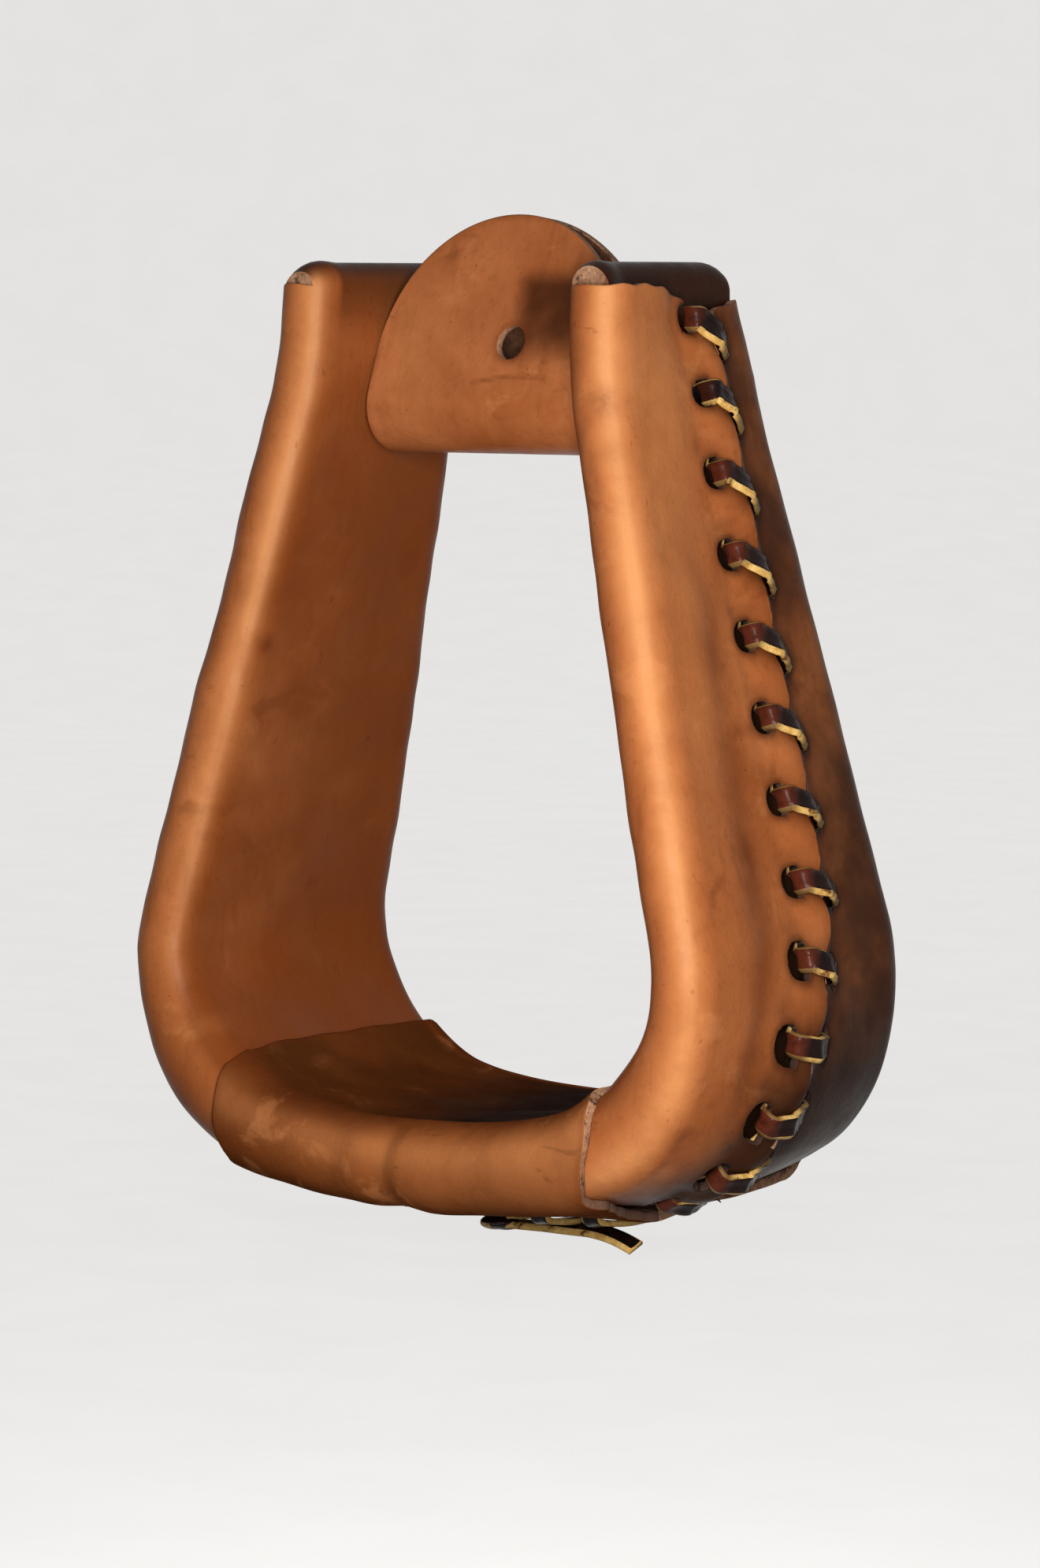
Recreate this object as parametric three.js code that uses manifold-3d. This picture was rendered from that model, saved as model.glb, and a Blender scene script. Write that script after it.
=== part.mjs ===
// A roper stirrup: a bent wooden bow in laced leather, with a bolt, roller and leather bolt cover across its neck.
// Millimetres. It hangs from the stirrup leather on its bar, so the origin is the middle of the bar's axis. X runs
// along the bar, -Y is the stirrup's front and +Z is up.
import * as THREE from "three";
import { mergeVertices } from "three/addons/utils/BufferGeometryUtils.js";
import Module from "manifold-3d";

const wasm = await Module();
wasm.setup();

// Leather, and the room between pieces that touch
const LEATHER = 2.2;
const GAP = 0.3;

// Bow, leather to leather, seen from the front
const NECK_INSIDE = 66;
const FOOT_INSIDE = 129;
const LEG_THICKNESS = 15.4;
const CORNER_SWELL = 2.7;
const CORNER_SWELL_REACH = 34;
const SPLAY = THREE.MathUtils.degToRad(14.3);
const NECK_STRAIGHT = 8;
const NECK_BEND = 80;
const CORNER_RADIUS = 39.5;
const TREAD_RADIUS = 226;

// Bow, leather to leather, seen from the side
const NECK_DEPTH = 50.6;
const TREAD_DEPTH = 76.6;
const EDGE_ROUND = 7.8;
const TREAD_CROWN = 1;
const CORNER_CROWN = 3.8;

// Leg tops: the inner leather is folded out over the wood and tucked in behind the laced halves
const TOP_THINNING = 2.8;
const TOP_THINNING_LENGTH = 20;
const TAB_TUCK = 15;
const TAB_INSET = 2.8;
const TAB_END_DROP = 1.6;
const TAB_ROOT_OVERLAP = 0.5;
const TAB_SLICES = [1, 0.93, 0.8, 0, -0.8, -0.93, -1];
const WOOD_CORNER = 9;
const WOOD_SHOULDER = 1.2;
const WOOD_SHOULDER_LENGTH = 0.04;

// Leg seams, on the outer faces: where they lie, how high their lips stand and how far the stitches reach
const SEAM_SLIT = 0.6;
const LEG_SEAM = { topY: 8.5, lowY: -8, turnsFrom: 58, turnsTo: 108 };
const LEG_RIDGE = 2.8;
const LEG_RIDGE_SPREAD = { front: 1.2, back: 1.1 };
const LEG_REACH_TOP = { front: 8.8, back: 5.6 };
const LEG_REACH_LOW = { front: 8.4, back: 7.4 };
const LEG_STITCHES = { upper: 8, lower: 5 };
const UPPER_PITCH = 17.7;
const LOWER_PITCH = { first: 15.4, last: 10.6 };
const FIRST_STITCH_DROP = 7;
const LEG_SLANT = { top: 9, corner: 3.5, low: -3 };
const SEAM_FADE = 5;

// Tread cover and its seam, on the underside
const TREAD_COVER_TOP = 61;
const TREAD_COVER_UNDER = 47.5;
const TREAD_SEAM_Y = -5;
const TREAD_RIDGE = 1.8;
const TREAD_RIDGE_SPREAD = 2.2;
const TREAD_REACH = 8;
const TREAD_PITCH = 13.6;
const TREAD_STITCHES_A_SIDE = 3;
const TREAD_SLANT = 3;

// Lace, its slots and its knot
const LACE_WIDTH = 5.5;
const LACE_THICKNESS = 1.2;
const LACE_BEND = 1;
const LACE_LIFT = 0.5;
const LACE_FLOOR = 0.2;
const LACE_HEADROOM = 0.7;
const SLOT_LENGTH = 7.2;
const SLOT_GAPE = 3;
const SLOT_LIP = 1.2;
const SLOT_CURVE = [
  [1, 0.25],
  [0.6, 0.8],
  [0, 1],
  [-0.6, 0.8],
  [-1, 0.25],
];
const CHANNEL_MARGIN = 0.6;
const LACE_TUCK = 5.5;
const KNOT = { length: 8.6, width: 8, height: 3.6, at: 1.2, y: -5.5 };
const TAIL_LENGTH = 35.2;
const TAIL_BEND_SHARE = 0.65;
const TAIL_DROOP = 3.4;
const TAIL_STEPS = 10;

// Bolt, washers, nut and roller
const BAR_BELOW_TOP = 26;
const BOLT_DIAMETER = 8;
const HEAD_DIAMETER = 15;
const HEAD_HEIGHT = 2.4;
const WASHER_DIAMETER = 16;
const WASHER_THICKNESS = 1;
const NUT_FLATS = 12.7;
const NUT_HEIGHT = 4;
const END_CHAMFER = 0.6;
const HEAD_DOME = [
  [0, 1],
  [0.45, 0.92],
  [0.8, 0.62],
  [1, 0.25],
  [1, 0],
];
const ROLLER_DIAMETER = 16;
const ROLLER_PLAY = 0.5;

// Bolt cover: leather folded round the roller, its two half-round ears standing up with a hole through both
const COVER_PLAY = 0.6;
const EAR_CENTRE_HEIGHT = 8.8;
const EAR_TOP_GAP = 0.5;
const EAR_LEAN = THREE.MathUtils.degToRad(7);
const EAR_HOLE_DIAMETER = 7.4;
const EAR_HOLE_HEIGHT = 12.8;
const EAR_HOLE_X = 5.1;

// Facets
const TURN_STEP = THREE.MathUtils.degToRad(10);
const LONG_STEP = 40;
const EDGE_STEPS = 6;
const FLESH_STEPS = 4;
const RIDGE_STEPS = 4;
const CROWN_STEPS = 3;
const UNDER_STEPS = 5;
const ROUND_STEPS = 24;
const HALF_FOLD_STEPS = 7;
const EAR_STEPS = 28;

const leather = (color) => new THREE.MeshStandardMaterial({ color, roughness: 0.55, metalness: 0 });
const saddleTan = leather(0xb87443);
const shadedTan = leather(0x8f5430);
const laceRed = leather(0x6e2c1c);
const ashWood = new THREE.MeshStandardMaterial({ color: 0xc9a878, roughness: 0.7, metalness: 0 });
const steel = new THREE.MeshStandardMaterial({ color: 0x8d9094, roughness: 0.4, metalness: 1 });

// The bow's line: the middle of its thickness, from the tread's centre out and up each leg. A place on it is its
// distance from that centre, positive to the right. It is a shallow arc, a corner, a straight leg and a neck bend.
const wideX = (FOOT_INSIDE + LEG_THICKNESS) / 2;
const neckX = (NECK_INSIDE + LEG_THICKNESS) / 2;
const treadTurn = Math.asin((wideX - CORNER_RADIUS) / (TREAD_RADIUS - CORNER_RADIUS));
const legRun =
  (wideX - neckX - (CORNER_RADIUS + NECK_BEND) * (1 - Math.cos(SPLAY))) / Math.sin(SPLAY);
const BOW_RUNS = [
  { length: TREAD_RADIUS * treadTurn, radius: TREAD_RADIUS },
  { length: CORNER_RADIUS * (Math.PI / 2 - treadTurn + SPLAY), radius: CORNER_RADIUS },
  { length: legRun, radius: Infinity },
  { length: NECK_BEND * SPLAY, radius: -NECK_BEND },
  { length: NECK_STRAIGHT, radius: Infinity },
];
const LEG_TOP = BOW_RUNS.reduce((sum, run) => sum + run.length, 0);
const CORNER_MIDDLE = BOW_RUNS[0].length + CORNER_RADIUS * (Math.PI / 4 - treadTurn);
const WIDEST = BOW_RUNS[0].length + CORNER_RADIUS * (Math.PI / 2 - treadTurn);

function walkLine(place) {
  const side = place < 0 ? -1 : 1;
  let left = Math.abs(place);
  let x = 0;
  let z = 0;
  let heading = 0;
  BOW_RUNS.forEach(({ length, radius }, i) => {
    const last = i === BOW_RUNS.length - 1;
    const run = last ? left : Math.min(left, length);
    const turned = heading + run / radius;
    if (radius === Infinity) {
      x += run * Math.cos(heading);
      z += run * Math.sin(heading);
    } else {
      x += radius * (Math.sin(turned) - Math.sin(heading));
      z += radius * (Math.cos(heading) - Math.cos(turned));
    }
    heading = turned;
    left -= run;
  });
  return { x: side * x, z, outX: side * Math.sin(heading), outZ: -Math.cos(heading) };
}
const barRise = walkLine(LEG_TOP).z - BAR_BELOW_TOP;

// The stations at which every piece along the bow has a ring, so that all layers share one set of facets
function bowStations() {
  const places = [0];
  let start = 0;
  for (const { length, radius } of BOW_RUNS) {
    const steps = Math.ceil(Math.max(Math.abs(length / radius) / TURN_STEP, length / LONG_STEP) - 1e-6);
    for (let i = 1; i <= steps; i++) places.push(start + (length * i) / steps);
    start += length;
  }
  return places;
}
const STATIONS = bowStations();

function framePoint(place, y, out) {
  const f = walkLine(place);
  return new THREE.Vector3(f.x + out * f.outX, y, f.z - barRise + out * f.outZ);
}

// The two stations a place lies between, and its share of the way from one to the other
function facetOf(place) {
  const distance = Math.abs(place);
  const side = place < 0 ? -1 : 1;
  const next = STATIONS.findIndex((s) => s > distance + 1e-9);
  if (next < 1) return { from: place, to: place, share: 0 };
  const [from, to] = [STATIONS[next - 1], STATIONS[next]];
  return { from: side * from, to: side * to, share: (distance - from) / (to - from) };
}

// A point y behind the middle and out from the bow's line, on the facets between two stations
function onBow(place, y, out) {
  const { from, to, share } = facetOf(place);
  return framePoint(from, y, out).lerp(framePoint(to, y, out), share);
}

// Measures that run straight from station to station, as the facets do
const facetwise = (measure) => (place) => {
  const { from, to, share } = facetOf(place);
  const [a, b] = [measure(from), measure(to)];
  return Object.fromEntries(
    Object.keys(a).map((key) => [key, THREE.MathUtils.lerp(a[key], b[key], share)]),
  );
};

const ramp = (value, from, to) => THREE.MathUtils.clamp((value - from) / (to - from), 0, 1);

function swell(distance) {
  const share = Math.min(Math.abs(distance - CORNER_MIDDLE) / CORNER_SWELL_REACH, 1);
  return (CORNER_SWELL * (1 + Math.cos(Math.PI * share))) / 2;
}

// The covered bow's section at a place, pulled in by inset: half its depth, its two faces and its edge rounding
const coveredSection = facetwise((place) => {
  const distance = Math.abs(place);
  const depth = THREE.MathUtils.lerp(TREAD_DEPTH, NECK_DEPTH, ramp(distance, WIDEST, LEG_TOP));
  const thinning = TOP_THINNING * ramp(distance, LEG_TOP - TOP_THINNING_LENGTH, LEG_TOP);
  const face = LEG_THICKNESS / 2 + swell(distance);
  const crown =
    distance < CORNER_MIDDLE
      ? THREE.MathUtils.lerp(TREAD_CROWN, CORNER_CROWN, ramp(distance, TREAD_PITCH, CORNER_MIDDLE))
      : CORNER_CROWN * ramp(distance, WIDEST, CORNER_MIDDLE);
  return { half: depth / 2, inner: -face, outer: face - thinning, crown };
});

// The underside is a little round from front to back: how far it stands out from the flat at a distance y from
// the middle
function crownAt(place, y) {
  const { half, crown } = coveredSection(place);
  return crown * Math.max(1 - (y / (half - EDGE_ROUND)) ** 2, 0);
}
const crowned = (place, points) => points.map(([y, out]) => [y, out + crownAt(place, y)]);

// Points on a flat face between two others, so that the crown is followed there
const between = ([fromY, fromOut], [toY, toOut], steps = CROWN_STEPS) =>
  Array.from({ length: steps - 1 }, (_, i) => [
    THREE.MathUtils.lerp(fromY, toY, (i + 1) / steps),
    THREE.MathUtils.lerp(fromOut, toOut, (i + 1) / steps),
  ]);

function bowSection(place, inset) {
  const { half, inner, outer } = coveredSection(place);
  return {
    half: half - inset,
    inner: inner + inset,
    outer: outer - inset,
    round: EDGE_ROUND - inset,
  };
}

// The rounded front or back edge of a section, from its outer face round to its inner face
function edgeRound({ half, inner, outer, round }, side, steps) {
  const middle = (outer + inner) / 2;
  const reach = (outer - inner) / 2;
  return Array.from({ length: steps + 1 }, (_, i) => {
    const angle = Math.PI / 2 - (Math.PI * i) / steps;
    return [side * (half - round + round * Math.cos(angle)), middle + reach * Math.sin(angle)];
  });
}

const signedVolume = (points, faces) =>
  faces.reduce((sum, [a, b, c]) => sum + points[a].dot(points[b].clone().cross(points[c])) / 6, 0);

function closedGeometry(points, faces) {
  const turned = signedVolume(points, faces) < 0 ? faces.map(([a, b, c]) => [a, c, b]) : faces;
  const geometry = new THREE.BufferGeometry().setFromPoints(points);
  geometry.setIndex(turned.flat());
  return geometry;
}

// A solid through rings of like corners, with a flat cap on each end. outline is the first ring laid flat.
function loft(rings, outlines) {
  const size = rings[0].length;
  const faces = [];
  for (let r = 0; r + 1 < rings.length; r++) {
    for (let i = 0; i < size; i++) {
      const a = r * size + i;
      const b = r * size + ((i + 1) % size);
      faces.push([a, b, b + size], [a, b + size, a + size]);
    }
  }
  const cap = (outline, base, flip) => {
    const flat = outline.map(([u, v]) => new THREE.Vector2(u, v));
    const around = THREE.ShapeUtils.isClockWise(flat);
    const order = flat.map((_, i) => (around ? size - 1 - i : i));
    for (const [a, b, c] of THREE.ShapeUtils.triangulateShape(order.map((i) => flat[i]), [])) {
      const face = [base + order[a], base + order[b], base + order[c]];
      faces.push(flip !== around ? face.reverse() : face);
    }
  };
  cap(outlines[0], 0, true);
  cap(outlines[outlines.length - 1], (rings.length - 1) * size, false);
  return closedGeometry(rings.flat(), faces);
}

// A solid along the bow: outlineAt gives the section's corners, as [y, out], at each place
function alongBow(places, outlineAt) {
  const outlines = places.map(outlineAt);
  return loft(
    places.map((place, i) => outlines[i].map(([y, out]) => onBow(place, y, out))),
    outlines,
  );
}

function toSolid(geometry) {
  const bare = geometry.index ? geometry.toNonIndexed() : geometry.clone();
  for (const name of Object.keys(bare.attributes)) {
    if (name !== "position") bare.deleteAttribute(name);
  }
  const merged = mergeVertices(bare, 1e-4);
  return new wasm.Manifold(
    new wasm.Mesh({
      numProp: 3,
      vertProperties: new Float32Array(merged.attributes.position.array),
      triVerts: new Uint32Array(merged.index.array),
    }),
  );
}

function toGeometry(solid) {
  const mesh = solid.getMesh();
  const geometry = new THREE.BufferGeometry();
  geometry.setAttribute("position", new THREE.BufferAttribute(mesh.vertProperties, 3));
  geometry.setIndex(new THREE.BufferAttribute(mesh.triVerts, 1));
  return geometry;
}

const cutAll = (solid, cutters) => cutters.reduce((left, cutter) => left.subtract(cutter), solid);

const group = new THREE.Group();

function addPiece(name, geometry, material) {
  const mesh = new THREE.Mesh(geometry, material);
  mesh.name = name;
  group.add(mesh);
}

// A round bar, hole or washer on the bar's axis, from one x to another
function crossCylinder(radius, fromX, toX, sides = ROUND_STEPS) {
  const bar = new THREE.CylinderGeometry(radius, radius, toX - fromX, sides);
  bar.rotateZ(-Math.PI / 2);
  bar.translate((fromX + toX) / 2, 0, 0);
  return bar;
}

// How far from the middle the bow's surface, out from its line by a given amount, stands at a height on a leg
function legSurfaceX(z, out) {
  let low = WIDEST;
  let high = LEG_TOP;
  for (let i = 0; i < 40; i++) {
    const middle = (low + high) / 2;
    if (onBow(middle, 0, out).z < z) low = middle;
    else high = middle;
  }
  return onBow(low, 0, out).x;
}
const layer = LEATHER + GAP;

// Wooden core: one bent strip, thinner at its tips where the leather is tucked in behind the laced halves
const woodSection = (place) => {
  const section = bowSection(place, layer);
  if (Math.abs(place) > LEG_TOP - TAB_TUCK) {
    section.outer -= layer;
    section.half -= WOOD_SHOULDER;
  }
  return section;
};
const tipSection = woodSection(LEG_TOP);
const tipRadius = (tipSection.outer - tipSection.inner) / 2;
const TIP_TURNS = [0.35, 0.65, 0.88].map((share) => (share * Math.PI) / 2);

function coreOutline(place) {
  const section = woodSection(place);
  const distance = Math.abs(place);
  const past = Math.max(distance - LEG_TOP, 0);
  if (past > 0) {
    const middle = (section.outer + section.inner) / 2;
    const reach = Math.sqrt(tipRadius ** 2 - past ** 2);
    section.outer = middle + reach;
    section.inner = middle - reach;
  }
  const woodTop = LEG_TOP + tipRadius;
  const climb = Math.max(distance - (woodTop - WOOD_CORNER), 0);
  section.half -= WOOD_CORNER - Math.sqrt(WOOD_CORNER ** 2 - climb ** 2);
  const front = edgeRound(section, -1, FLESH_STEPS);
  const back = edgeRound(section, 1, FLESH_STEPS);
  const face = [back[0], ...between(back[0], front[0], 2 * CROWN_STEPS), front[0]];
  return [...crowned(place, face), ...front.slice(1), ...back.slice(1).reverse()];
}

function makeCore() {
  const rebate = LEG_TOP - TAB_TUCK;
  const tip = TIP_TURNS.map((turn) => LEG_TOP + tipRadius * Math.sin(turn));
  const shoulder = [
    rebate - WOOD_SHOULDER_LENGTH / 2,
    rebate + WOOD_SHOULDER_LENGTH / 2,
    LEG_TOP - WOOD_CORNER / 3,
  ];
  const half = [...STATIONS.slice(1), ...shoulder, ...tip].sort((a, b) => a - b);
  const places = [...half.map((p) => -p).reverse(), 0, ...half];
  const recessRadius = WASHER_DIAMETER / 2 + GAP;
  const outside = FOOT_INSIDE;
  return cutAll(toSolid(alongBow(places, coreOutline)), [
    toSolid(crossCylinder(BOLT_DIAMETER / 2 + GAP, -outside, outside)),
    toSolid(crossCylinder(recessRadius, nutSeat.floor, outside)),
    toSolid(crossCylinder(recessRadius, -outside, -headSeat.floor)),
  ]);
}

// Seats for the bolt's two ends, sunk so that their highest rims stay just under the leather
function boltSeat(height) {
  const woodFace = LEG_THICKNESS / 2 - layer;
  const brim = legSurfaceX(WASHER_DIAMETER / 2, woodFace);
  const washer = brim - height - GAP - WASHER_THICKNESS;
  return { brim, washer, floor: washer - GAP };
}
const headSeat = boltSeat(HEAD_HEIGHT);
const nutSeat = boltSeat(NUT_HEIGHT);

// A seam: the line where the two edges of a cover meet, the slots on each side of it and its raised lips
const ridgeShare = (share) => {
  const step = Math.min(Math.floor(share * RIDGE_STEPS), RIDGE_STEPS - 1);
  const height = (i) => (1 + Math.cos((Math.PI * i) / RIDGE_STEPS)) / 2;
  return THREE.MathUtils.lerp(height(step), height(step + 1), share * RIDGE_STEPS - step);
};

const legSeam = facetwise((place) => {
  const distance = Math.abs(place);
  const rise = ramp(distance, CORNER_MIDDLE, LEG_TOP);
  const turned = ramp(distance, LEG_SEAM.turnsFrom, LEG_SEAM.turnsTo);
  const y = THREE.MathUtils.lerp(LEG_SEAM.lowY, LEG_SEAM.topY, turned);
  const front = y - THREE.MathUtils.lerp(LEG_REACH_LOW.front, LEG_REACH_TOP.front, rise);
  const back = y + THREE.MathUtils.lerp(LEG_REACH_LOW.back, LEG_REACH_TOP.back, rise);
  const open = ramp(distance, TREAD_COVER_UNDER - 3 * SEAM_FADE, TREAD_COVER_UNDER - 2 * SEAM_FADE);
  return {
    y,
    front,
    back,
    frontFoot: y - LEG_RIDGE_SPREAD.front * (y - front),
    backFoot: y + LEG_RIDGE_SPREAD.back * (back - y),
    ridge: LEG_RIDGE * ramp(distance, TREAD_COVER_UNDER, TREAD_COVER_UNDER + SEAM_FADE),
    relief: (LACE_THICKNESS + LACE_HEADROOM) * open,
  };
});

const treadSeam = facetwise((place) => {
  const open = ramp(Math.abs(place), TREAD_COVER_UNDER, TREAD_COVER_UNDER - SEAM_FADE);
  return {
    y: TREAD_SEAM_Y,
    front: TREAD_SEAM_Y - TREAD_REACH,
    back: TREAD_SEAM_Y + TREAD_REACH,
    frontFoot: TREAD_SEAM_Y - TREAD_RIDGE_SPREAD * TREAD_REACH,
    backFoot: TREAD_SEAM_Y + TREAD_RIDGE_SPREAD * TREAD_REACH,
    ridge: TREAD_RIDGE * open,
    relief: (LACE_THICKNESS + LACE_HEADROOM) * open,
  };
});

const ridgeReach = (seam, side) => (side < 0 ? seam.y - seam.frontFoot : seam.backFoot - seam.y);

function ridgeAt(seam, y) {
  const side = y < seam.y ? -1 : 1;
  const share = (Math.abs(y - seam.y) - SEAM_SLIT / 2) / ridgeReach(seam, side);
  return seam.ridge * ridgeShare(THREE.MathUtils.clamp(share, 0, 1));
}

// A cover's section: leather all round the bow, open at the seam, pared on its flesh side where the lace runs
// under it
function coverOutline(place, skin, flesh, seam, fleshSteps) {
  const skinFace = (side) => {
    const lips = Array.from({ length: RIDGE_STEPS + 1 }, (_, i) => {
      const y = seam.y + side * (SEAM_SLIT / 2 + (ridgeReach(seam, side) * i) / RIDGE_STEPS);
      return [y, skin.outer + seam.ridge * ridgeShare(i / RIDGE_STEPS)];
    });
    const edge = [side * (skin.half - skin.round), skin.outer];
    return [...lips, ...between(lips[RIDGE_STEPS], edge)];
  };
  const roof = flesh.outer + seam.relief;
  const wall = SLOT_LIP + CHANNEL_MARGIN;
  const fleshFace = (side) => {
    const channel = side < 0 ? seam.front - wall : seam.back + wall;
    const foot = [channel + (side * SLOT_LIP) / 2, flesh.outer];
    const edge = [side * (flesh.half - flesh.round), flesh.outer];
    return [
      [seam.y + (side * SEAM_SLIT) / 2, roof],
      ...between([seam.y + (side * SEAM_SLIT) / 2, roof], [channel, roof], 2),
      [channel, roof],
      foot,
      ...between(foot, edge),
    ];
  };
  const front = edgeRound(skin, -1, EDGE_STEPS);
  const back = edgeRound(skin, 1, EDGE_STEPS);
  return [
    ...crowned(place, [...skinFace(-1), front[0]]),
    ...front.slice(1),
    ...back.slice(1).reverse(),
    ...crowned(place, [back[0], ...skinFace(1).reverse(), ...fleshFace(1)]),
    ...edgeRound(flesh, 1, fleshSteps),
    ...edgeRound(flesh, -1, fleshSteps).reverse(),
    ...crowned(place, fleshFace(-1).reverse()),
  ];
}

// A stitch leaves the front or back slot at its place and crosses to the other slot, further on by its slant
function slotCutter(place, y, side, outer) {
  const half = SLOT_LENGTH / 2;
  const corners = [
    [-half, -SLOT_LIP],
    [half, -SLOT_LIP],
    ...SLOT_CURVE.map(([along, away]) => [half * along, SLOT_GAPE * away]),
  ];
  const ringAt = (out) => corners.map(([along, away]) => onBow(place + along, y + side * away, out));
  const depth = LEATHER + LEG_RIDGE;
  return toSolid(loft([ringAt(outer - depth), ringAt(outer + depth)], [corners, corners]));
}

const underLace = (place, y, outerAt) => outerAt(place, y) - LEATHER + LACE_THICKNESS / 2 + LACE_FLOOR;

// Lace: one flat strip that whips over the seam's lips, in at one row of slots and out at the other
function lacePoints(stitches, outerAt, seamAt) {
  const points = [];
  const under = (place, y) => underLace(place, y, outerAt);
  const over = (place, y) =>
    outerAt(place, y) + ridgeAt(seamAt(place), y) + LACE_LIFT + LACE_THICKNESS / 2;
  const add = (place, y, out) => {
    const follow = out > outerAt(place, y) ? over : under;
    points.push({ place, y, out, slope: (follow(place + 1, y) - follow(place - 1, y)) / 2 });
  };
  const diagonal = LACE_BEND * (1 - Math.SQRT1_2);
  for (const { from, to, enter, leave, close } of stitches) {
    const way = Math.sign(leave - enter);
    const turnY = enter + way * LACE_BEND;
    const endY = leave - way * LACE_BEND;
    const last = points[points.length - 1];
    for (let i = 1; last && i < UNDER_STEPS; i++) {
      const place = THREE.MathUtils.lerp(last.place, from, i / UNDER_STEPS);
      const y = THREE.MathUtils.lerp(last.y, turnY, i / UNDER_STEPS);
      add(place, y, under(place, y));
    }
    add(from, turnY, under(from, turnY));
    add(from, enter + way * diagonal, under(from, turnY) + diagonal);
    add(from, enter + way * diagonal, over(from, turnY) - diagonal);
    const crest = seamAt((from + to) / 2).y;
    for (const y of [turnY, (turnY + crest) / 2, crest, (crest + endY) / 2, endY]) {
      const place = THREE.MathUtils.lerp(from, to, (y - enter) / (leave - enter));
      add(place, y, over(place, y));
    }
    if (!close) add(to, leave - way * diagonal, over(to, endY) - diagonal);
    if (!close) add(to, leave - way * diagonal, under(to, endY) + diagonal);
    if (!close) add(to, endY, under(to, endY));
  }
  return points;
}

function strip(points, lying = false) {
  const centres = points.map(({ place, y, out }) => onBow(place, y, out));
  const outline = [
    [-1, -1],
    [1, -1],
    [1, 1],
    [-1, 1],
  ];
  const rings = centres.map((centre, i) => {
    const before = centres[Math.max(i - 1, 0)];
    const after = centres[Math.min(i + 1, centres.length - 1)];
    const forward = after.clone().sub(before).normalize();
    const { place, y, out, slope = 0 } = points[i];
    const along = onBow(place + 1, y, out + slope).sub(onBow(place - 1, y, out - slope)).normalize();
    const outward = along.clone().cross(new THREE.Vector3(0, 1, 0));
    const across = lying ? forward.clone().cross(outward) : along;
    across.addScaledVector(forward, -across.dot(forward)).normalize();
    const up = forward.clone().cross(across);
    return outline.map(([u, v]) =>
      centre
        .clone()
        .addScaledVector(across, (u * LACE_WIDTH) / 2)
        .addScaledVector(up, (v * LACE_THICKNESS) / 2),
    );
  });
  return loft(rings, [outline, outline]);
}

// Leg stitches, from the top down: evenly spaced on the leg, closer and closer round the corner
const stitchCount = LEG_STITCHES.upper + LEG_STITCHES.lower;
const legStitches = Array.from({ length: stitchCount }, (_, i) => {
  const lower = Math.max(i - LEG_STITCHES.upper + 1, 0);
  const closer = (LOWER_PITCH.first - LOWER_PITCH.last) / (LEG_STITCHES.lower - 1);
  const round = lower * LOWER_PITCH.first - (closer * lower * (lower - 1)) / 2;
  const from = LEG_TOP - FIRST_STITCH_DROP - UPPER_PITCH * (i - lower) - round;
  const alongCorner = ramp(from, CORNER_MIDDLE, WIDEST);
  const cornerSlant = THREE.MathUtils.lerp(LEG_SLANT.low, LEG_SLANT.corner, alongCorner);
  const slant = THREE.MathUtils.lerp(cornerSlant, LEG_SLANT.top, ramp(from, WIDEST, 2 * WIDEST));
  const to = from - slant;
  return { from, to, enter: legSeam(from).front, leave: legSeam(to).back };
});
const mirrorStitch = (stitch) => ({ ...stitch, from: -stitch.from, to: -stitch.to });
const legOuter = (place, y) => bowSection(place, 0).outer + crownAt(place, y);

// Top edges of a leg's two laced halves, seen from the side: y, and height against the leg's top
const TOP_EDGE = [
  [-NECK_DEPTH, 0.3],
  [-14, 0.3],
  [-4, -1],
  [4, -4.2],
  [LEG_SEAM.topY, -7],
  [11, -5.8],
  [22, -3.2],
  [NECK_DEPTH, -3.2],
];

// Everything of the sheath above its laced halves' top edges, but for the inner leather that the tab continues
function topTrim(side) {
  const above = NECK_DEPTH;
  const edge = TOP_EDGE.map(([y, drop]) => new THREE.Vector2(y, BAR_BELOW_TOP + drop));
  const outline = new THREE.Shape([
    ...edge,
    new THREE.Vector2(NECK_DEPTH, BAR_BELOW_TOP + above),
    new THREE.Vector2(-NECK_DEPTH, BAR_BELOW_TOP + above),
  ]);
  const from = NECK_INSIDE / 2 + LEATHER + GAP / 2;
  const halves = new THREE.ExtrudeGeometry(outline, { depth: above, bevelEnabled: false });
  halves.rotateZ(Math.PI / 2);
  halves.rotateY(Math.PI / 2);
  halves.translate(side > 0 ? from : -from - above, 0, 0);
  return toSolid(halves);
}

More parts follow.
